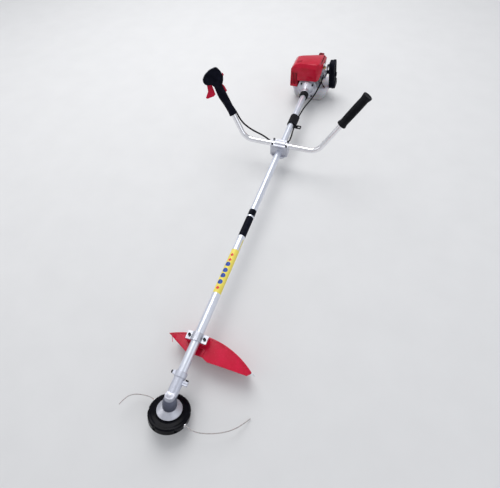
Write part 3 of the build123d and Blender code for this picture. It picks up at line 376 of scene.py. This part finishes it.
# ---- mesh helpers -------------------------------------------------------------------------------
def add_object(name, data):
    """Object at the origin, linked to the scene."""
    made = bpy.data.objects.new(name, data)
    bpy.context.scene.collection.objects.link(made)
    return made


def add_mesh(name, points, faces, place):
    """Mesh object from points in a placement, with its faces turned outwards."""
    mesh = bpy.data.meshes.new(name)
    mesh.from_pydata([place @ Vector(point) for point in points], [], faces)
    turned = bmesh.new()
    turned.from_mesh(mesh)
    bmesh.ops.recalc_face_normals(turned, faces=turned.faces)
    turned.to_mesh(mesh)
    turned.free()
    return add_object(name, mesh)


def rounded(points, corner, steps=4, closed=True):
    """Outline whose corners are rounded off, starting at most that far before each corner."""
    made = []
    last = len(points) - 1
    for index, point in enumerate(points):
        here = Vector(point)
        if not closed and index in (0, last):
            made.append(here)
            continue
        before = Vector(points[index - 1]) - here
        after = Vector(points[(index + 1) % len(points)]) - here
        start = here + before.normalized() * min(corner, 0.45 * before.length)
        end = here + after.normalized() * min(corner, 0.45 * after.length)
        for step in range(steps + 1):
            share = step / steps
            made.append(start.lerp(here, share).lerp(here.lerp(end, share), share))
    return made


def prism(name, axis, outline, low, high, place=TUBE):
    """Closed prism along an axis of the placement; the outline is in its other two axes, in order."""
    def point(flat, depth):
        first, second = flat
        return {"X": (depth, first, second), "Y": (first, depth, second),
                "Z": (first, second, depth)}[axis]

    count = len(outline)
    points = [point(flat, low) for flat in outline] + [point(flat, high) for flat in outline]
    sides = [(i, (i + 1) % count, (i + 1) % count + count, i + count) for i in range(count)]
    caps = [tuple(range(count)), tuple(range(2 * count - 1, count - 1, -1))]
    return add_mesh(name, points, sides + caps, place)


def box(name, low, high, place=TUBE):
    """Closed box between two corners."""
    outline = [(low[0], low[1]), (high[0], low[1]), (high[0], high[1]), (low[0], high[1])]
    return prism(name, "Z", outline, low[2], high[2], place)


def revolve(name, profile, place, steps=72, ring=False):
    """Surface of revolution about +Z from (radius, height) points; ring joins its two ends."""
    points, rows = [], []
    for radius, height in profile:
        if radius < 1e-6:
            rows.append([len(points)])
            points.append((0, 0, height))
            continue
        rows.append(list(range(len(points), len(points) + steps)))
        for step in range(steps):
            angle = 2 * math.pi * step / steps
            points.append((radius * math.cos(angle), radius * math.sin(angle), height))
    pairs = list(zip(rows, rows[1:]))
    if ring:
        pairs.append((rows[-1], rows[0]))
    faces = []
    for near, far in pairs:
        for step in range(steps):
            after = (step + 1) % steps
            corners = [near[step % len(near)], near[after % len(near)],
                       far[after % len(far)], far[step % len(far)]]
            faces.append(tuple(dict.fromkeys(corners)))
    return add_mesh(name, points, faces, place)


def rod(name, radius, start, end, place=TUBE, steps=48):
    """Closed cylinder from one point to another."""
    begin = Vector(start)
    run = Vector(end) - begin
    sideways = Vector((1, 0, 0)) if abs(run.normalized().x) < 0.9 else Vector((0, 1, 0))
    own = place @ placement(begin, run, sideways)
    return revolve(name, [(0, 0), (radius, 0), (radius, run.length), (0, run.length)], own, steps)


def loft(name, rings, place=TUBE, closed=True, caps=True):
    """Skin over rings of points, each with as many points as the next."""
    count = len(rings[0])
    points = [point for ring in rings for point in ring]
    faces = []
    last = count if closed else count - 1
    for row in range(len(rings) - 1):
        for i in range(last):
            after = (i + 1) % count
            faces.append((row * count + i, row * count + after,
                          (row + 1) * count + after, (row + 1) * count + i))
    if caps:
        top = (len(rings) - 1) * count
        faces += [tuple(range(count)), tuple(range(top + count - 1, top - 1, -1))]
    return add_mesh(name, points, faces, place)


def nurbs(name, route, radius, place=TUBE):
    """Round cord on one smooth line, with the route's points as its control points."""
    curve = bpy.data.curves.new(name, "CURVE")
    curve.dimensions = "3D"
    spline = curve.splines.new("NURBS")
    spline.points.add(len(route) - 1)
    for control, point in zip(spline.points, route):
        control.co = (*(place @ Vector(point)), 1)
    spline.order_u = 3
    spline.use_endpoint_u = True
    spline.resolution_u = 12
    curve.bevel_depth = radius
    curve.bevel_resolution = 6
    curve.use_fill_caps = True
    return add_object(name, curve)


def settle(piece):
    """Applies a piece's modifiers to its mesh."""
    bpy.context.view_layer.update()
    graph = bpy.context.evaluated_depsgraph_get()
    mesh = bpy.data.meshes.new_from_object(piece.evaluated_get(graph))
    piece.modifiers.clear()
    piece.data = mesh


def combine(piece, tools, operation):
    """Adds the tools to a piece or cuts them out of it, and removes them."""
    for tool in tools:
        step = piece.modifiers.new("combine", "BOOLEAN")
        step.solver = "EXACT"
        step.operation = operation
        step.object = tool
    settle(piece)
    for tool in tools:
        bpy.data.objects.remove(tool)


def cut(piece, *tools):
    """Cuts the tools out of a piece."""
    combine(piece, tools, "DIFFERENCE")


def join(piece, *tools):
    """Adds the tools to a piece as one solid."""
    combine(piece, tools, "UNION")


def soften(piece, width, segments=3, angle=30.0):
    """Rounds the edges that are sharper than an angle."""
    step = piece.modifiers.new("soften", "BEVEL")
    step.width = width
    step.segments = segments
    step.limit_method = "ANGLE"
    step.angle_limit = math.radians(angle)
    settle(piece)


def thicken(piece, thickness):
    """Gives a skin its wall, on the inside."""
    step = piece.modifiers.new("thicken", "SOLIDIFY")
    step.thickness = thickness
    step.offset = -1.0
    step.use_even_offset = True
    settle(piece)


def group(name, pieces):
    """One object from several meshes, which stay separate solids in it."""
    whole = bmesh.new()
    for piece in pieces:
        whole.from_mesh(piece.data)
        bpy.data.objects.remove(piece)
    mesh = bpy.data.meshes.new(name)
    whole.to_mesh(mesh)
    whole.free()
    return add_object(name, mesh)


def dress(piece, body, slot, *nodes, material=None, sharp=32.0):
    """Gives a piece its material, the slot's unless another is given, and its body, and hides the CAD
    nodes it stands for.
    """
    piece.data.materials.clear()
    piece.data.materials.append(material or MATERIALS[slot])
    if piece.type == "MESH":
        for face in piece.data.polygons:
            face.use_smooth = True
        piece.data.set_sharp_from_angle(angle=math.radians(sharp))
    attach(piece, body)
    if nodes:
        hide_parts(*nodes)
    return piece


# ---- cords --------------------------------------------------------------------------------------
LINE_LEVEL = -0.053          # height of the trimmer line along the head's axis
LINE_RADIUS = 0.00135
RIGHT_LINE = [(0.0545, -0.0167), (0.077, -0.0236), (0.104, -0.022), (0.131, -0.0125), (0.156, 0.0),
              (0.180, 0.017), (0.203, 0.043), (0.220, 0.073)]
LEFT_LINE = [(-0.0545, 0.0167), (-0.072, 0.022), (-0.091, 0.0205), (-0.110, 0.0165),
             (-0.128, 0.008), (-0.1395, -0.008), (-0.142, -0.033)]
CABLE_RADIUS = 0.0035
CABLE_ROUTE = [
    (-0.205, 1.097, 0.129), (-0.193, 1.093, 0.109), (-0.176, 1.093, 0.085), (-0.150, 1.096, 0.063),
    (-0.122, 1.099, 0.047), (-0.090, 1.101, 0.035), (-0.058, 1.100, 0.016), (-0.030, 1.103, -0.008),
    (-0.004, 1.112, -0.022), (0.017, 1.133, -0.017), (0.023, 1.168, -0.006), (0.0195, 1.210, 0.0),
    (0.0186, 1.262, 0.001), (0.0182, 1.310, 0.0), (0.021, 1.362, -0.002), (0.026, 1.412, -0.005),
    (0.035, 1.458, -0.008), (0.046, 1.502, -0.005), (0.055, 1.540, 0.006), (0.062, 1.570, 0.022),
    (0.066, 1.594, 0.039), (0.067, 1.6139, 0.048)]


def add_trimmer_line(side, route):
    """Free end of the nylon line, which lies in the plane of the line head."""
    points = [(across, downhill, LINE_LEVEL) for across, downhill in route]
    line = nurbs(f"nylon_line_{side}", points, LINE_RADIUS, HEAD)
    dress(line, "line_head", "line_nylon", f"trimmer_line_{side}")


def add_cords():
    """The two free lines, and the throttle cable, which is held all the way."""
    add_trimmer_line("right", RIGHT_LINE)
    add_trimmer_line("left", LEFT_LINE)
    cable = nurbs("throttle_cable_sheath", CABLE_ROUTE, CABLE_RADIUS)
    dress(cable, "frame", "black_rubber", "throttle_cable")


# ---- pieces -------------------------------------------------------------------------------------
def metres(points):
    """Points in metres from points in millimetres."""
    return [tuple(value / 1000 for value in point) for point in points]


def mm_box(name, low, high, place=TUBE):
    """Closed box between two corners in millimetres."""
    return box(name, *metres((low, high)), place)


def mm_rod(name, radius, start, end, place=TUBE, steps=48):
    """Closed cylinder, in millimetres."""
    return rod(name, radius / 1000, *metres((start, end)), place, steps)


COVER_FRONT = [(-54, 38), (52, 46), (60, 72), (60, 96), (44, 121), (0, 124), (-45, 121), (-74, 112),
               (-86, 98), (-88, 84), (-54, 84)]
COVER_SIDE = [(1552, 5), (1552, 104), (1563, 121), (1610, 124), (1684, 113), (1700, 94), (1700, 5)]
COVER_PLAN = [(-100, 1540), (34.8, 1540), (62, 1582), (62, 1704), (-34, 1704), (-72, 1684),
              (-100, 1655)]
HOLLOW_FRONT = [(-51, -10), (49, -10), (57, 72.5), (57, 95.2), (42.3, 118), (0, 121), (-44.5, 118),
                (-72.4, 109.4), (-83.1, 96.8), (-84.7, 87), (-51, 87)]
HOLLOW_SIDE = [(1555, -10), (1555, 103), (1564.6, 118), (1610, 121), (1682.6, 110.2), (1697, 93),
               (1697, -10)]
HOLLOW_PLAN = [(-97, 1543), (33.2, 1543), (59.5, 1583.6), (59.5, 1701), (-33.2, 1701),
               (-70.2, 1681.6), (-97, 1654)]


def common_solid(name, front, side, plan, low):
    """What three prisms, along the three axes, have in common."""
    solid = prism(name, "Y", metres(front), 1.540, 1.710)
    combine(solid, [prism("along_x", "X", metres(side), -0.100, 0.070),
                    prism("along_z", "Z", metres(plan), low, 0.130)], "INTERSECT")
    return solid


def add_engine_cover():
    """Glossy faceted cover with a bright shoulder, three vents and a slot down its right side."""
    cover = common_solid("cover_shell", COVER_FRONT, COVER_SIDE, COVER_PLAN, 0.0)
    hollow = common_solid("hollow", HOLLOW_FRONT, HOLLOW_SIDE, HOLLOW_PLAN, -0.012)
    facet = placement(at(0.031, 1.558, 0.121), (0.76, -0.56, 0.33), (0, 0, 1))
    cut(cover, box("facet", (-0.2, -0.2, 0), (0.2, 0.2, 0.2), facet))
    cut(hollow, box("inner_facet", (-0.2, -0.2, -0.003), (0.2, 0.2, 0.2), facet))
    tail = placement(at(-0.080, 1.645, 0.110), (-0.20, 0.55, 0.81), (1, 0, 0))
    cut(cover, box("tail", (-0.3, -0.3, 0), (0.3, 0.3, 0.2), tail))
    cut(hollow, box("inner_tail", (-0.3, -0.3, -0.003), (0.3, 0.3, 0.2), tail))
    soften(cover, 0.0028, 4, 20.0)
    cut(cover, hollow)
    cut(cover, mm_box("carburettor_opening", (40, 1612, 30), (70, 1668, 97)),
        mm_rod("pipe_hole", 9, (-60, 1637, 58), (-40, 1637, 58)),
        mm_box("rear_opening", (-52, 1690, 0), (56, 1712, 66)),
        mm_box("side_slot", (49.0, 1600, 92), (51.6, 1682, 130)))
    vents = [mm_box("vent", (-66, 1574 + 7 * index, 100), (-42, 1577 + 7 * index, 130))
             for index in range(3)]
    cut(cover, *vents)
    dress(cover, "frame", "red_plastic", "engine_cover", material=cover_material(), sharp=25.0)


GUARD_LOWER_EDGE = [(188.5, 146.5), (184, 139), (177, 133), (112, 132.5), (51, 131), (30, 140),
                    (-22, 139), (-99, 176)]
GUARD_CENTRE = (21.0, -70.0)
GUARD_RADIUS = 273.7
GUARD_TOP = -24.0
GUARD_BRACKET = 185.0


def guard_arc(radius, start, end, steps=48):
    """Points on the guard's arc between two angles from straight up, to the right."""
    points = []
    for step in range(steps + 1):
        angle = math.radians(start + (end - start) * step / steps)
        points.append((GUARD_CENTRE[0] + radius * math.sin(angle),
                       GUARD_CENTRE[1] + radius * math.cos(angle)))
    return points


def add_debris_guard():
    """Moulded hood with a skirt, a raised rim, a fold, a sunk step and a fan of ribs."""
    left = math.degrees(math.atan2(-99 - GUARD_CENTRE[0], 176 - GUARD_CENTRE[1]))
    right = math.degrees(math.atan2(188.5 - GUARD_CENTRE[0], 146.5 - GUARD_CENTRE[1]))
    outline = guard_arc(GUARD_RADIUS, left, right) + GUARD_LOWER_EDGE[1:-1]
    hood = prism("guard_hood", "Z", metres(outline), -0.070, GUARD_TOP / 1000)
    soften(hood, 0.0012, 3, 50.0)
    inner = guard_arc(GUARD_RADIUS - 3, -60, 60, 72) + [(400, -200), (-400, -200)]
    cut(hood, prism("under_hood", "Z", metres(inner), -0.090, -0.027))
    cut(hood, mm_box("channel", (-20, 120, -28), (24, 166, -23)))
    step = mm_box("sunk_step", (-23, 141.5, -37), (27, 166, -24))
    cut(step, mm_box("step_hollow", (-20, 120, -34), (24, 163, -23)))
    saddle = mm_box("saddle", (-33, 169, -26), (33, 198, -3))
    soften(saddle, 0.002, 3)
    rim = guard_arc(GUARD_RADIUS - 1, left + 0.6, right - 0.6)
    rim += guard_arc(GUARD_RADIUS - 5, right - 0.6, left + 0.6)
    bead = prism("rim_bead", "Z", metres(rim), -0.025, -0.0226)
    fold = prism("fold", "Z", metres([(28, 140), (31, 139), (33, 168), (30, 168)]), -0.026, -0.0215)
    lips = []
    for start, end in ((1, 2), (2, 3), (3, 4), (4, 5)):
        near, far = GUARD_LOWER_EDGE[start], GUARD_LOWER_EDGE[end]
        strip = [near, far, (far[0], far[1] + 3.5), (near[0] - 0.5, near[1] + 3.5)]
        lips.append(prism("lip", "Z", metres(strip), -0.026, -0.0222))
    ribs = []
    for index in range(4):
        angle = left + 2.5 + 3.0 * index
        foot = guard_arc(GUARD_RADIUS - 30, angle, angle, 1)[0]
        tip = guard_arc(GUARD_RADIUS - 5, angle - 0.6, angle - 0.6, 1)[0]
        ribs.append(prism("rib", "Z", metres([foot, tip, (tip[0] + 1.6, tip[1]),
                                             (foot[0] + 1.6, foot[1])]), -0.025, -0.0232))
    join(hood, step, saddle, bead, fold, *lips, *ribs)
    holes = [mm_rod("tube_hole", 14.02, (0, 100, 0), (0, 250, 0)),
             mm_box("left_skirt_end", (-120, 120, -71), (-78, 200, -27)),
             mm_box("right_skirt_end", (181, 120, -71), (200, 155, -27)),
             mm_box("blade_slot", (170, 136, -29.1), (205, 149.5, -27))]
    for x in (-25, 25):
        holes.append(mm_rod("screw_hole", 2.52, (x, GUARD_BRACKET, -40), (x, GUARD_BRACKET, 0)))
    cut(hood, *holes)
    dress(hood, "frame", "red_plastic", "debris_guard", sharp=28.0)


def add_right_grip():
    """Rubber grip with close ribs between two flares."""
    profile = [(11.02, 152), (19, 152), (19.5, 154), (19.2, 157), (17.6, 161), (16.6, 166)]
    rib_pitch = 3.4
    for index in range(31):
        height = 168 + rib_pitch * index
        swell = 0.6 * math.sin(math.pi * index / 30)
        profile += [(15.6 + swell, height), (16.5 + swell, height + 0.8),
                    (16.5 + swell, height + 2.0), (15.6 + swell, height + 2.8)]
    profile += [(16.6, 275), (18.4, 284), (19.5, 288), (18.5, 292), (9, 292), (8, 291), (0, 291),
                (0, 288.5), (11.02, 288.5)]
    grip = revolve("ribbed_grip", metres(profile), RIGHT_GRIP, 64)
    dress(grip, "frame", "black_rubber", "right_grip", sharp=40.0)


HEAD_OUTLINE = [(-14, 236), (-27, 252), (-31, 262), (-30, 282), (-23, 302), (6, 305), (32, 298),
                (49, 286), (52, 270), (44, 260), (26, 254), (18, 236)]
GRIP_RINGS = [(112, 0, 17.5, 17), (114.5, 0, 17.6, 17.1), (118, 0.2, 16.4, 16), (128, 0.5, 15.2, 15),
              (145, 1, 15.6, 15.2), (165, 2, 16.5, 15.5), (185, 3.6, 18, 15.9), (205, 5, 19, 16),
              (225, 4.4, 18.4, 15.8), (246, 3, 17.5, 15.5)]


def throttle_body():
    """The whole throttle grip: an oval handle that swells into a rounded head."""
    rings = []
    for height, centre, half_width, half_depth in GRIP_RINGS:
        ring = []
        for step in range(48):
            angle = 2 * math.pi * step / 48
            ring.append((centre + half_width * math.cos(angle), half_depth * math.sin(angle), height))
        rings.append(metres(ring))
    body = loft("grip", rings, LEFT_GRIP)
    head = prism("head", "Y", [tuple(p) for p in rounded(metres(HEAD_OUTLINE), 0.006)],
                 -0.019, 0.019, LEFT_GRIP)
    soften(head, 0.0045, 4, 40.0)
    join(body, head, mm_rod("switch_wire_bulge", 6, (-13.5, 0, 113), (-8, 0, 150), LEFT_GRIP))
    blend = body.modifiers.new("blend", "REMESH")
    blend.mode = "VOXEL"
    blend.voxel_size = 0.0012
    ease = body.modifiers.new("ease", "SMOOTH")
    ease.iterations = 6
    ease.factor = 0.6
    settle(body)
    return body


def add_throttle_grip():
    """Both moulded halves of the throttle grip, parted by a seam, with slots for the levers."""
    for side, name in ((-1, "front"), (1, "rear")):
        half = throttle_body()
        half.name = f"grip_shell_{name}"
        cut(half, mm_box("other_side", (-80, 0.05 if side < 0 else -40, 90),
                         (90, 40 if side < 0 else -0.05, 330), LEFT_GRIP))
        cut(half, mm_rod("bar_hole", 11.02, (0, 0, 100), (0, 0, 200.5), LEFT_GRIP))
        cut(half, mm_box("trigger_slot", (4, -5.1, 202), (60, 5.1, 256), LEFT_GRIP),
            mm_box("trigger_well", (8, -5.1, 250), (47, 5.1, 294), LEFT_GRIP),
            mm_box("lockout_slot", (-30, -4.6, 202), (2, 4.6, 246), LEFT_GRIP),
            mm_box("switch_slot", (-40, -4.9, 258.5), (-20, 4.9, 281.5), LEFT_GRIP))
        join(half, mm_rod("trigger_boss", 3, (31, side * 0.2, 284), (31, side * 7.1, 284), LEFT_GRIP),
             mm_rod("lockout_boss", 2, (-9, side * 0.2, 239), (-9, side * 6.6, 239), LEFT_GRIP))
        dress(half, "frame", "black_plastic", f"throttle_housing_{name}", sharp=38.0)


FILM_STEPS = 16              # steps each way over a film; an even number
FILM_GAP = 0.00004           # between the tube and the underside of a film


def sleeve_patch(name, start, end, middle, half_angle, lift, slot, material=None, waist=None):
    """Thin film on the tube between two stations, centred at an angle from its top."""
    rings = []
    for radius in (TUBE_RADIUS + FILM_GAP, TUBE_RADIUS + lift):
        rows = []
        for row in range(FILM_STEPS + 1):
            share = row / FILM_STEPS
            width = half_angle * (waist(share) if waist else 1.0)
            station = start + (end - start) * share
            line = []
            for step in range(FILM_STEPS + 1):
                angle = math.radians(middle + width * (step / (FILM_STEPS / 2) - 1))
                line.append((radius * math.sin(angle), station, radius * math.cos(angle)))
            rows.append(line)
        rings.append(rows)
    inner, outer = rings
    count = FILM_STEPS + 1
    points = [point for row in inner for point in row] + [point for row in outer for point in row]
    half = count * count
    faces = []
    for row in range(count - 1):
        for step in range(count - 1):
            a = row * count + step
            quad = (a, a + 1, a + count + 1, a + count)
            faces += [quad, tuple(index + half for index in quad)]
    edge = list(range(count))
    edge += [row * count + count - 1 for row in range(1, count)]
    edge += [count * (count - 1) + step for step in range(count - 2, -1, -1)]
    edge += [row * count for row in range(count - 2, 0, -1)]
    for near, far in zip(edge, edge[1:] + edge[:1]):
        faces.append((near, far, far + half, near + half))
    film = add_mesh(name, points, faces, TUBE)
    dress(film, "frame", slot, material=material)


def round_waist(share):
    """Width of a disc along its length."""
    return max(0.06, math.sqrt(max(0.0, 1 - (2 * share - 1) ** 2)))


def diamond_waist(share):
    """Width of a diamond along its length."""
    return max(0.06, 1 - abs(2 * share - 1))


def add_tube_films():
    """Plain films on the tube: a pale yellow label with dots and diamonds, and black bands."""
    yellow = mottled("yellow_film", (0.80, 0.66, 0.10), (0.86, 0.73, 0.14), (0.3, 0.42), 900.0,
                     0.00002, 60.0, Specular_IOR_Level=0.3)
    blue = mottled("blue_film", (0.01, 0.05, 0.32), (0.02, 0.08, 0.42), (0.3, 0.42), 900.0, 0.00002,
                   60.0, Specular_IOR_Level=0.3)
    red = mottled("red_film", (0.62, 0.02, 0.03), (0.72, 0.04, 0.05), (0.3, 0.42), 900.0, 0.00002,
                  60.0, Specular_IOR_Level=0.3)
    sleeve_patch("label", 0.338, 0.513, 10, 88, 0.00012, "primer_plastic", yellow)
    sleeve_patch("label_edge", 0.5135, 0.563, 66, 9, 0.00012, "primer_plastic", yellow)
    for index, station in enumerate((0.449, 0.424, 0.403, 0.378)):
        sleeve_patch(f"blue_dot_{index}", station - 0.009, station + 0.009, -10, 37, 0.00020,
                     "primer_plastic", blue, round_waist)
    for index, station in enumerate((0.488, 0.467, 0.355)):
        sleeve_patch(f"red_mark_{index}", station - 0.007, station + 0.007, -6, 26, 0.00020,
                     "primer_plastic", red, diamond_waist)
    sleeve_patch("dark_band_upper", 0.676, 0.705, 0, 112, 0.00012, "black_plastic")
    sleeve_patch("dark_band_lower", 0.577, 0.669, 0, 112, 0.00012, "black_plastic")


def add_hanger_ribs():
    """Fine ribs round the rubber hanger band."""
    rings = []
    for index in range(13):
        middle = 1249 + 4.9 * index
        profile = [(17.9, middle - 1.1), (18.5, middle - 0.6), (18.5, middle + 0.6),
                   (17.9, middle + 1.1)]
        ring = revolve("ring", metres(profile), ALONG_TUBE, 48, ring=True)
        cut(ring, mm_box("cable_side", (6, 1200, -30), (40, 1350, 30)))
        rings.append(ring)
    dress(group("hanger_ribs", rings), "frame", "black_rubber")


TANK_RINGS = [(-86.5, 56, 38, 8, 1645), (-85.6, 58, 40, 9, 1645), (-80, 70, 47, 13, 1646),
              (-73, 77, 51.5, 17, 1648), (-66, 82, 55, 21, 1650), (-56, 87, 58, 24, 1652.6),
              (-45, 91, 60, 27, 1655), (-36, 93, 62, 28, 1656.4), (-34.6, 93.4, 62.3, 28, 1656.5),
              (-34.2, 95.0, 63.9, 29, 1656.5), (-32.0, 95.0, 63.9, 29, 1656.6),
              (-31.6, 93.6, 62.5, 28, 1656.6), (-26, 94, 63, 28, 1657), (-19, 92.6, 62, 27, 1657.6),
              (-14, 89, 59, 24, 1658)]
TANK_X = 5.0


def round_rectangle(half_x, half_y, corner, middle_x, middle_y, height, steps=9):
    """Ring of points round a rectangle with round corners."""
    ring = []
    for turn, (side_x, side_y) in enumerate(((1, 1), (-1, 1), (-1, -1), (1, -1))):
        for step in range(steps + 1):
            angle = math.radians(90 * (turn + step / steps))
            ring.append((middle_x + side_x * (half_x - corner) + corner * math.cos(angle),
                         middle_y + side_y * (half_y - corner) + corner * math.sin(angle), height))
    return ring


def add_muffler_guard():
    """Shell round the muffler, with round corners and long dark slots on its front and side."""
    shell = mm_box("muffler_guard", (-95, 1572, -9), (-55, 1690, 83.6))
    soften(shell, 0.0045, 4)
    cut(shell, mm_box("muffler_room", (-92, 1575, -6), (-50, 1700, 81)),
        mm_box("pipe_side", (-60.5, 1560, 78), (-50, 1700, 90)))
    slots = []
    for index in range(4):
        x = -88.5 + index * 8.0
        slot = [(x, 8), (x + 1.8, 4), (x + 3.6, 8), (x + 3.6, 64), (x + 1.8, 68), (x, 64)]
        slots.append(prism("front_slot", "Y", metres(slot), 1.565, 1.580))
    for index in range(6):
        station = 1590 + index * 15.5
        slot = [(station, 8), (station + 3, 4), (station + 6, 8), (station + 6, 64),
                (station + 3, 68), (station, 64)]
        slots.append(prism("side_slot", "X", metres(slot), -0.100, -0.088))
    cut(shell, *slots)
    dress(shell, "frame", "red_plastic", "muffler_cover", material=cover_material(), sharp=35.0)


CLEANER_LEAN = math.radians(8)
CLEANER = placement(at(0.098, 0, 0.095), (-math.sin(CLEANER_LEAN), 0, math.cos(CLEANER_LEAN)),
                    (1, 0, 0)) @ Matrix.Translation((-0.098, 0, -0.095))


def cleaner_outline(half_length, low, high, corner):
    """Side outline of the air cleaner, with its corners rounded off."""
    start, end = 1652 - half_length, 1652 + half_length
    points = [(start + 9, low), (end - 9, low), (end, low + 12), (end, high - 12),
              (end - 11, high), (start + 11, high), (start, high - 12), (start, low + 12)]
    return [tuple(point) for point in rounded(metres(points), corner / 1000, 3)]


def add_air_cleaner():
    """Cover of the air cleaner: a tall rounded plate with a heavy lower end, ribs and a knob."""
    cover = prism("cleaner_shell", "X", cleaner_outline(32, -26, 105, 6), 0.0983, 0.1135, CLEANER)
    soften(cover, 0.004, 4, 50.0)
    heel = prism("heel", "X", cleaner_outline(31.5, -25.5, 12, 6), 0.1090, 0.1175, CLEANER)
    soften(heel, 0.003, 3, 50.0)
    ribs = []
    for index in range(5):
        station = 1634 + 9 * index
        ribs.append(mm_box("rib", (112.5, station - 1, 18), (114.6, station + 1, 92), CLEANER))
    join(cover, heel, *ribs)
    cut(cover, prism("cleaner_hollow", "X", cleaner_outline(29, -23, 102, 5), 0.0980, 0.1108, CLEANER))
    knob = revolve("knob", metres([(0, 112.5), (11, 112.5), (11.5, 115.5), (11.0, 118.6), (9, 120),
                                   (0, 120)]),
                   CLEANER @ placement((0, 1.652, 0.040), (1, 0, 0), (0, 0, 1)), 48)
    grips = [mm_rod("grip", 2.2, (114, 1652 + 12.6 * math.cos(turn), 40 + 12.6 * math.sin(turn)),
                    (121, 1652 + 12.6 * math.cos(turn), 40 + 12.6 * math.sin(turn)), CLEANER, steps=16)
             for turn in [math.pi * step / 4 for step in range(8)]]
    cut(knob, *grips)
    join(cover, knob)
    cut(cover, mm_rod("stud_room", 2.8, (98, 1652, 40), (113.5, 1652, 40), CLEANER))
    dress(cover, "cleaner_cover", "black_plastic", "air_cleaner_cover", sharp=35.0)


def add_carburettor_details():
    """Two hoses, a return spring and the insulator flange round the carburettor."""
    hose = nurbs("fuel_hose", metres([(60, 1622, 12), (66, 1612, 2), (80, 1600, -2), (84, 1606, -8),
                                      (76, 1616, -12), (70, 1626, -16)]), 0.0022)
    dress(hose, "frame", "black_rubber")
    loop = nurbs("return_hose", metres([(76, 1622, 66), (83, 1612, 72), (82, 1603, 60),
                                        (74, 1600, 44), (60, 1603, 34), (57, 1608, 31)]), 0.0024)
    dress(loop, "frame", "black_rubber")
    turns, points = 7, []
    for step in range(turns * 10 + 1):
        angle = 2 * math.pi * step / 10
        points.append((72 + 2.4 * math.cos(angle), 1606 + 0.24 * step, 61 + 2.4 * math.sin(angle)))
    spring = nurbs("return_spring", metres(points), 0.0004)
    dress(spring, "frame", "bright_steel")
    flange = prism("insulator", "X", metres([(1622, 46), (1652, 46), (1652, 73), (1622, 73)]),
                   0.0412, 0.0472)
    soften(flange, 0.0015, 2)
    dress(flange, "frame", "black_plastic")


def add_gear_cap():
    """Pale cap on the gear case's barrel, with a chamfer and a shallow dimple."""
    profile = [(0, 19.85), (14.0, 19.85), (14.3, 20.4), (14.3, 21.6), (13.5, 22.3), (6, 22.3),
               (5.4, 22.0), (0, 22.0)]
    cap = revolve("gear_case_cap", metres(profile), HEAD, 64)
    dress(cap, "frame", "cast_aluminium", sharp=35.0)


def add_fuel_tank():
    """Blow-moulded bowl with a seam ridge, a flat foot and a filler neck."""
    rings = [metres(round_rectangle(half_x, half_y, corner, TANK_X, station, height))
             for height, half_x, half_y, corner, station in TANK_RINGS]
    tank = loft("tank_bowl", rings)
    cut(tank, mm_box("crankcase_room", (-43, 1580, -50), (43, 1740, 0)),
        mm_rod("fan_room", 52, (0, 1590, 0), (0, 1710, 0), steps=96),
        mm_rod("starter_room", 54, (0, 1704, 0), (0, 1740, 0), steps=96))
    soften(tank, 0.0012, 3, 50.0)
    join(tank, mm_rod("filler_neck", 13, (-60, 1690, -56), (-60, 1731, -56)))
    dress(tank, "frame", "tank_plastic", "fuel_tank", sharp=40.0)


# ---- floor --------------------------------------------------------------------------------------
def add_floor():
    """Plain floor under the tank and the line head."""
    floor = box("floor", (-FLOOR_SIZE / 2, -FLOOR_SIZE / 2, -0.01), (FLOOR_SIZE / 2, FLOOR_SIZE / 2, 0),
                Matrix())
    floor.data.materials.append(floor_material())


add_camera()
add_studio()
add_floor()
dress_nodes()
add_cords()
add_engine_cover()
add_debris_guard()
add_right_grip()
add_throttle_grip()
add_tube_films()
add_hanger_ribs()
add_fuel_tank()
add_air_cleaner()
add_gear_cap()
add_muffler_guard()
add_carburettor_details()
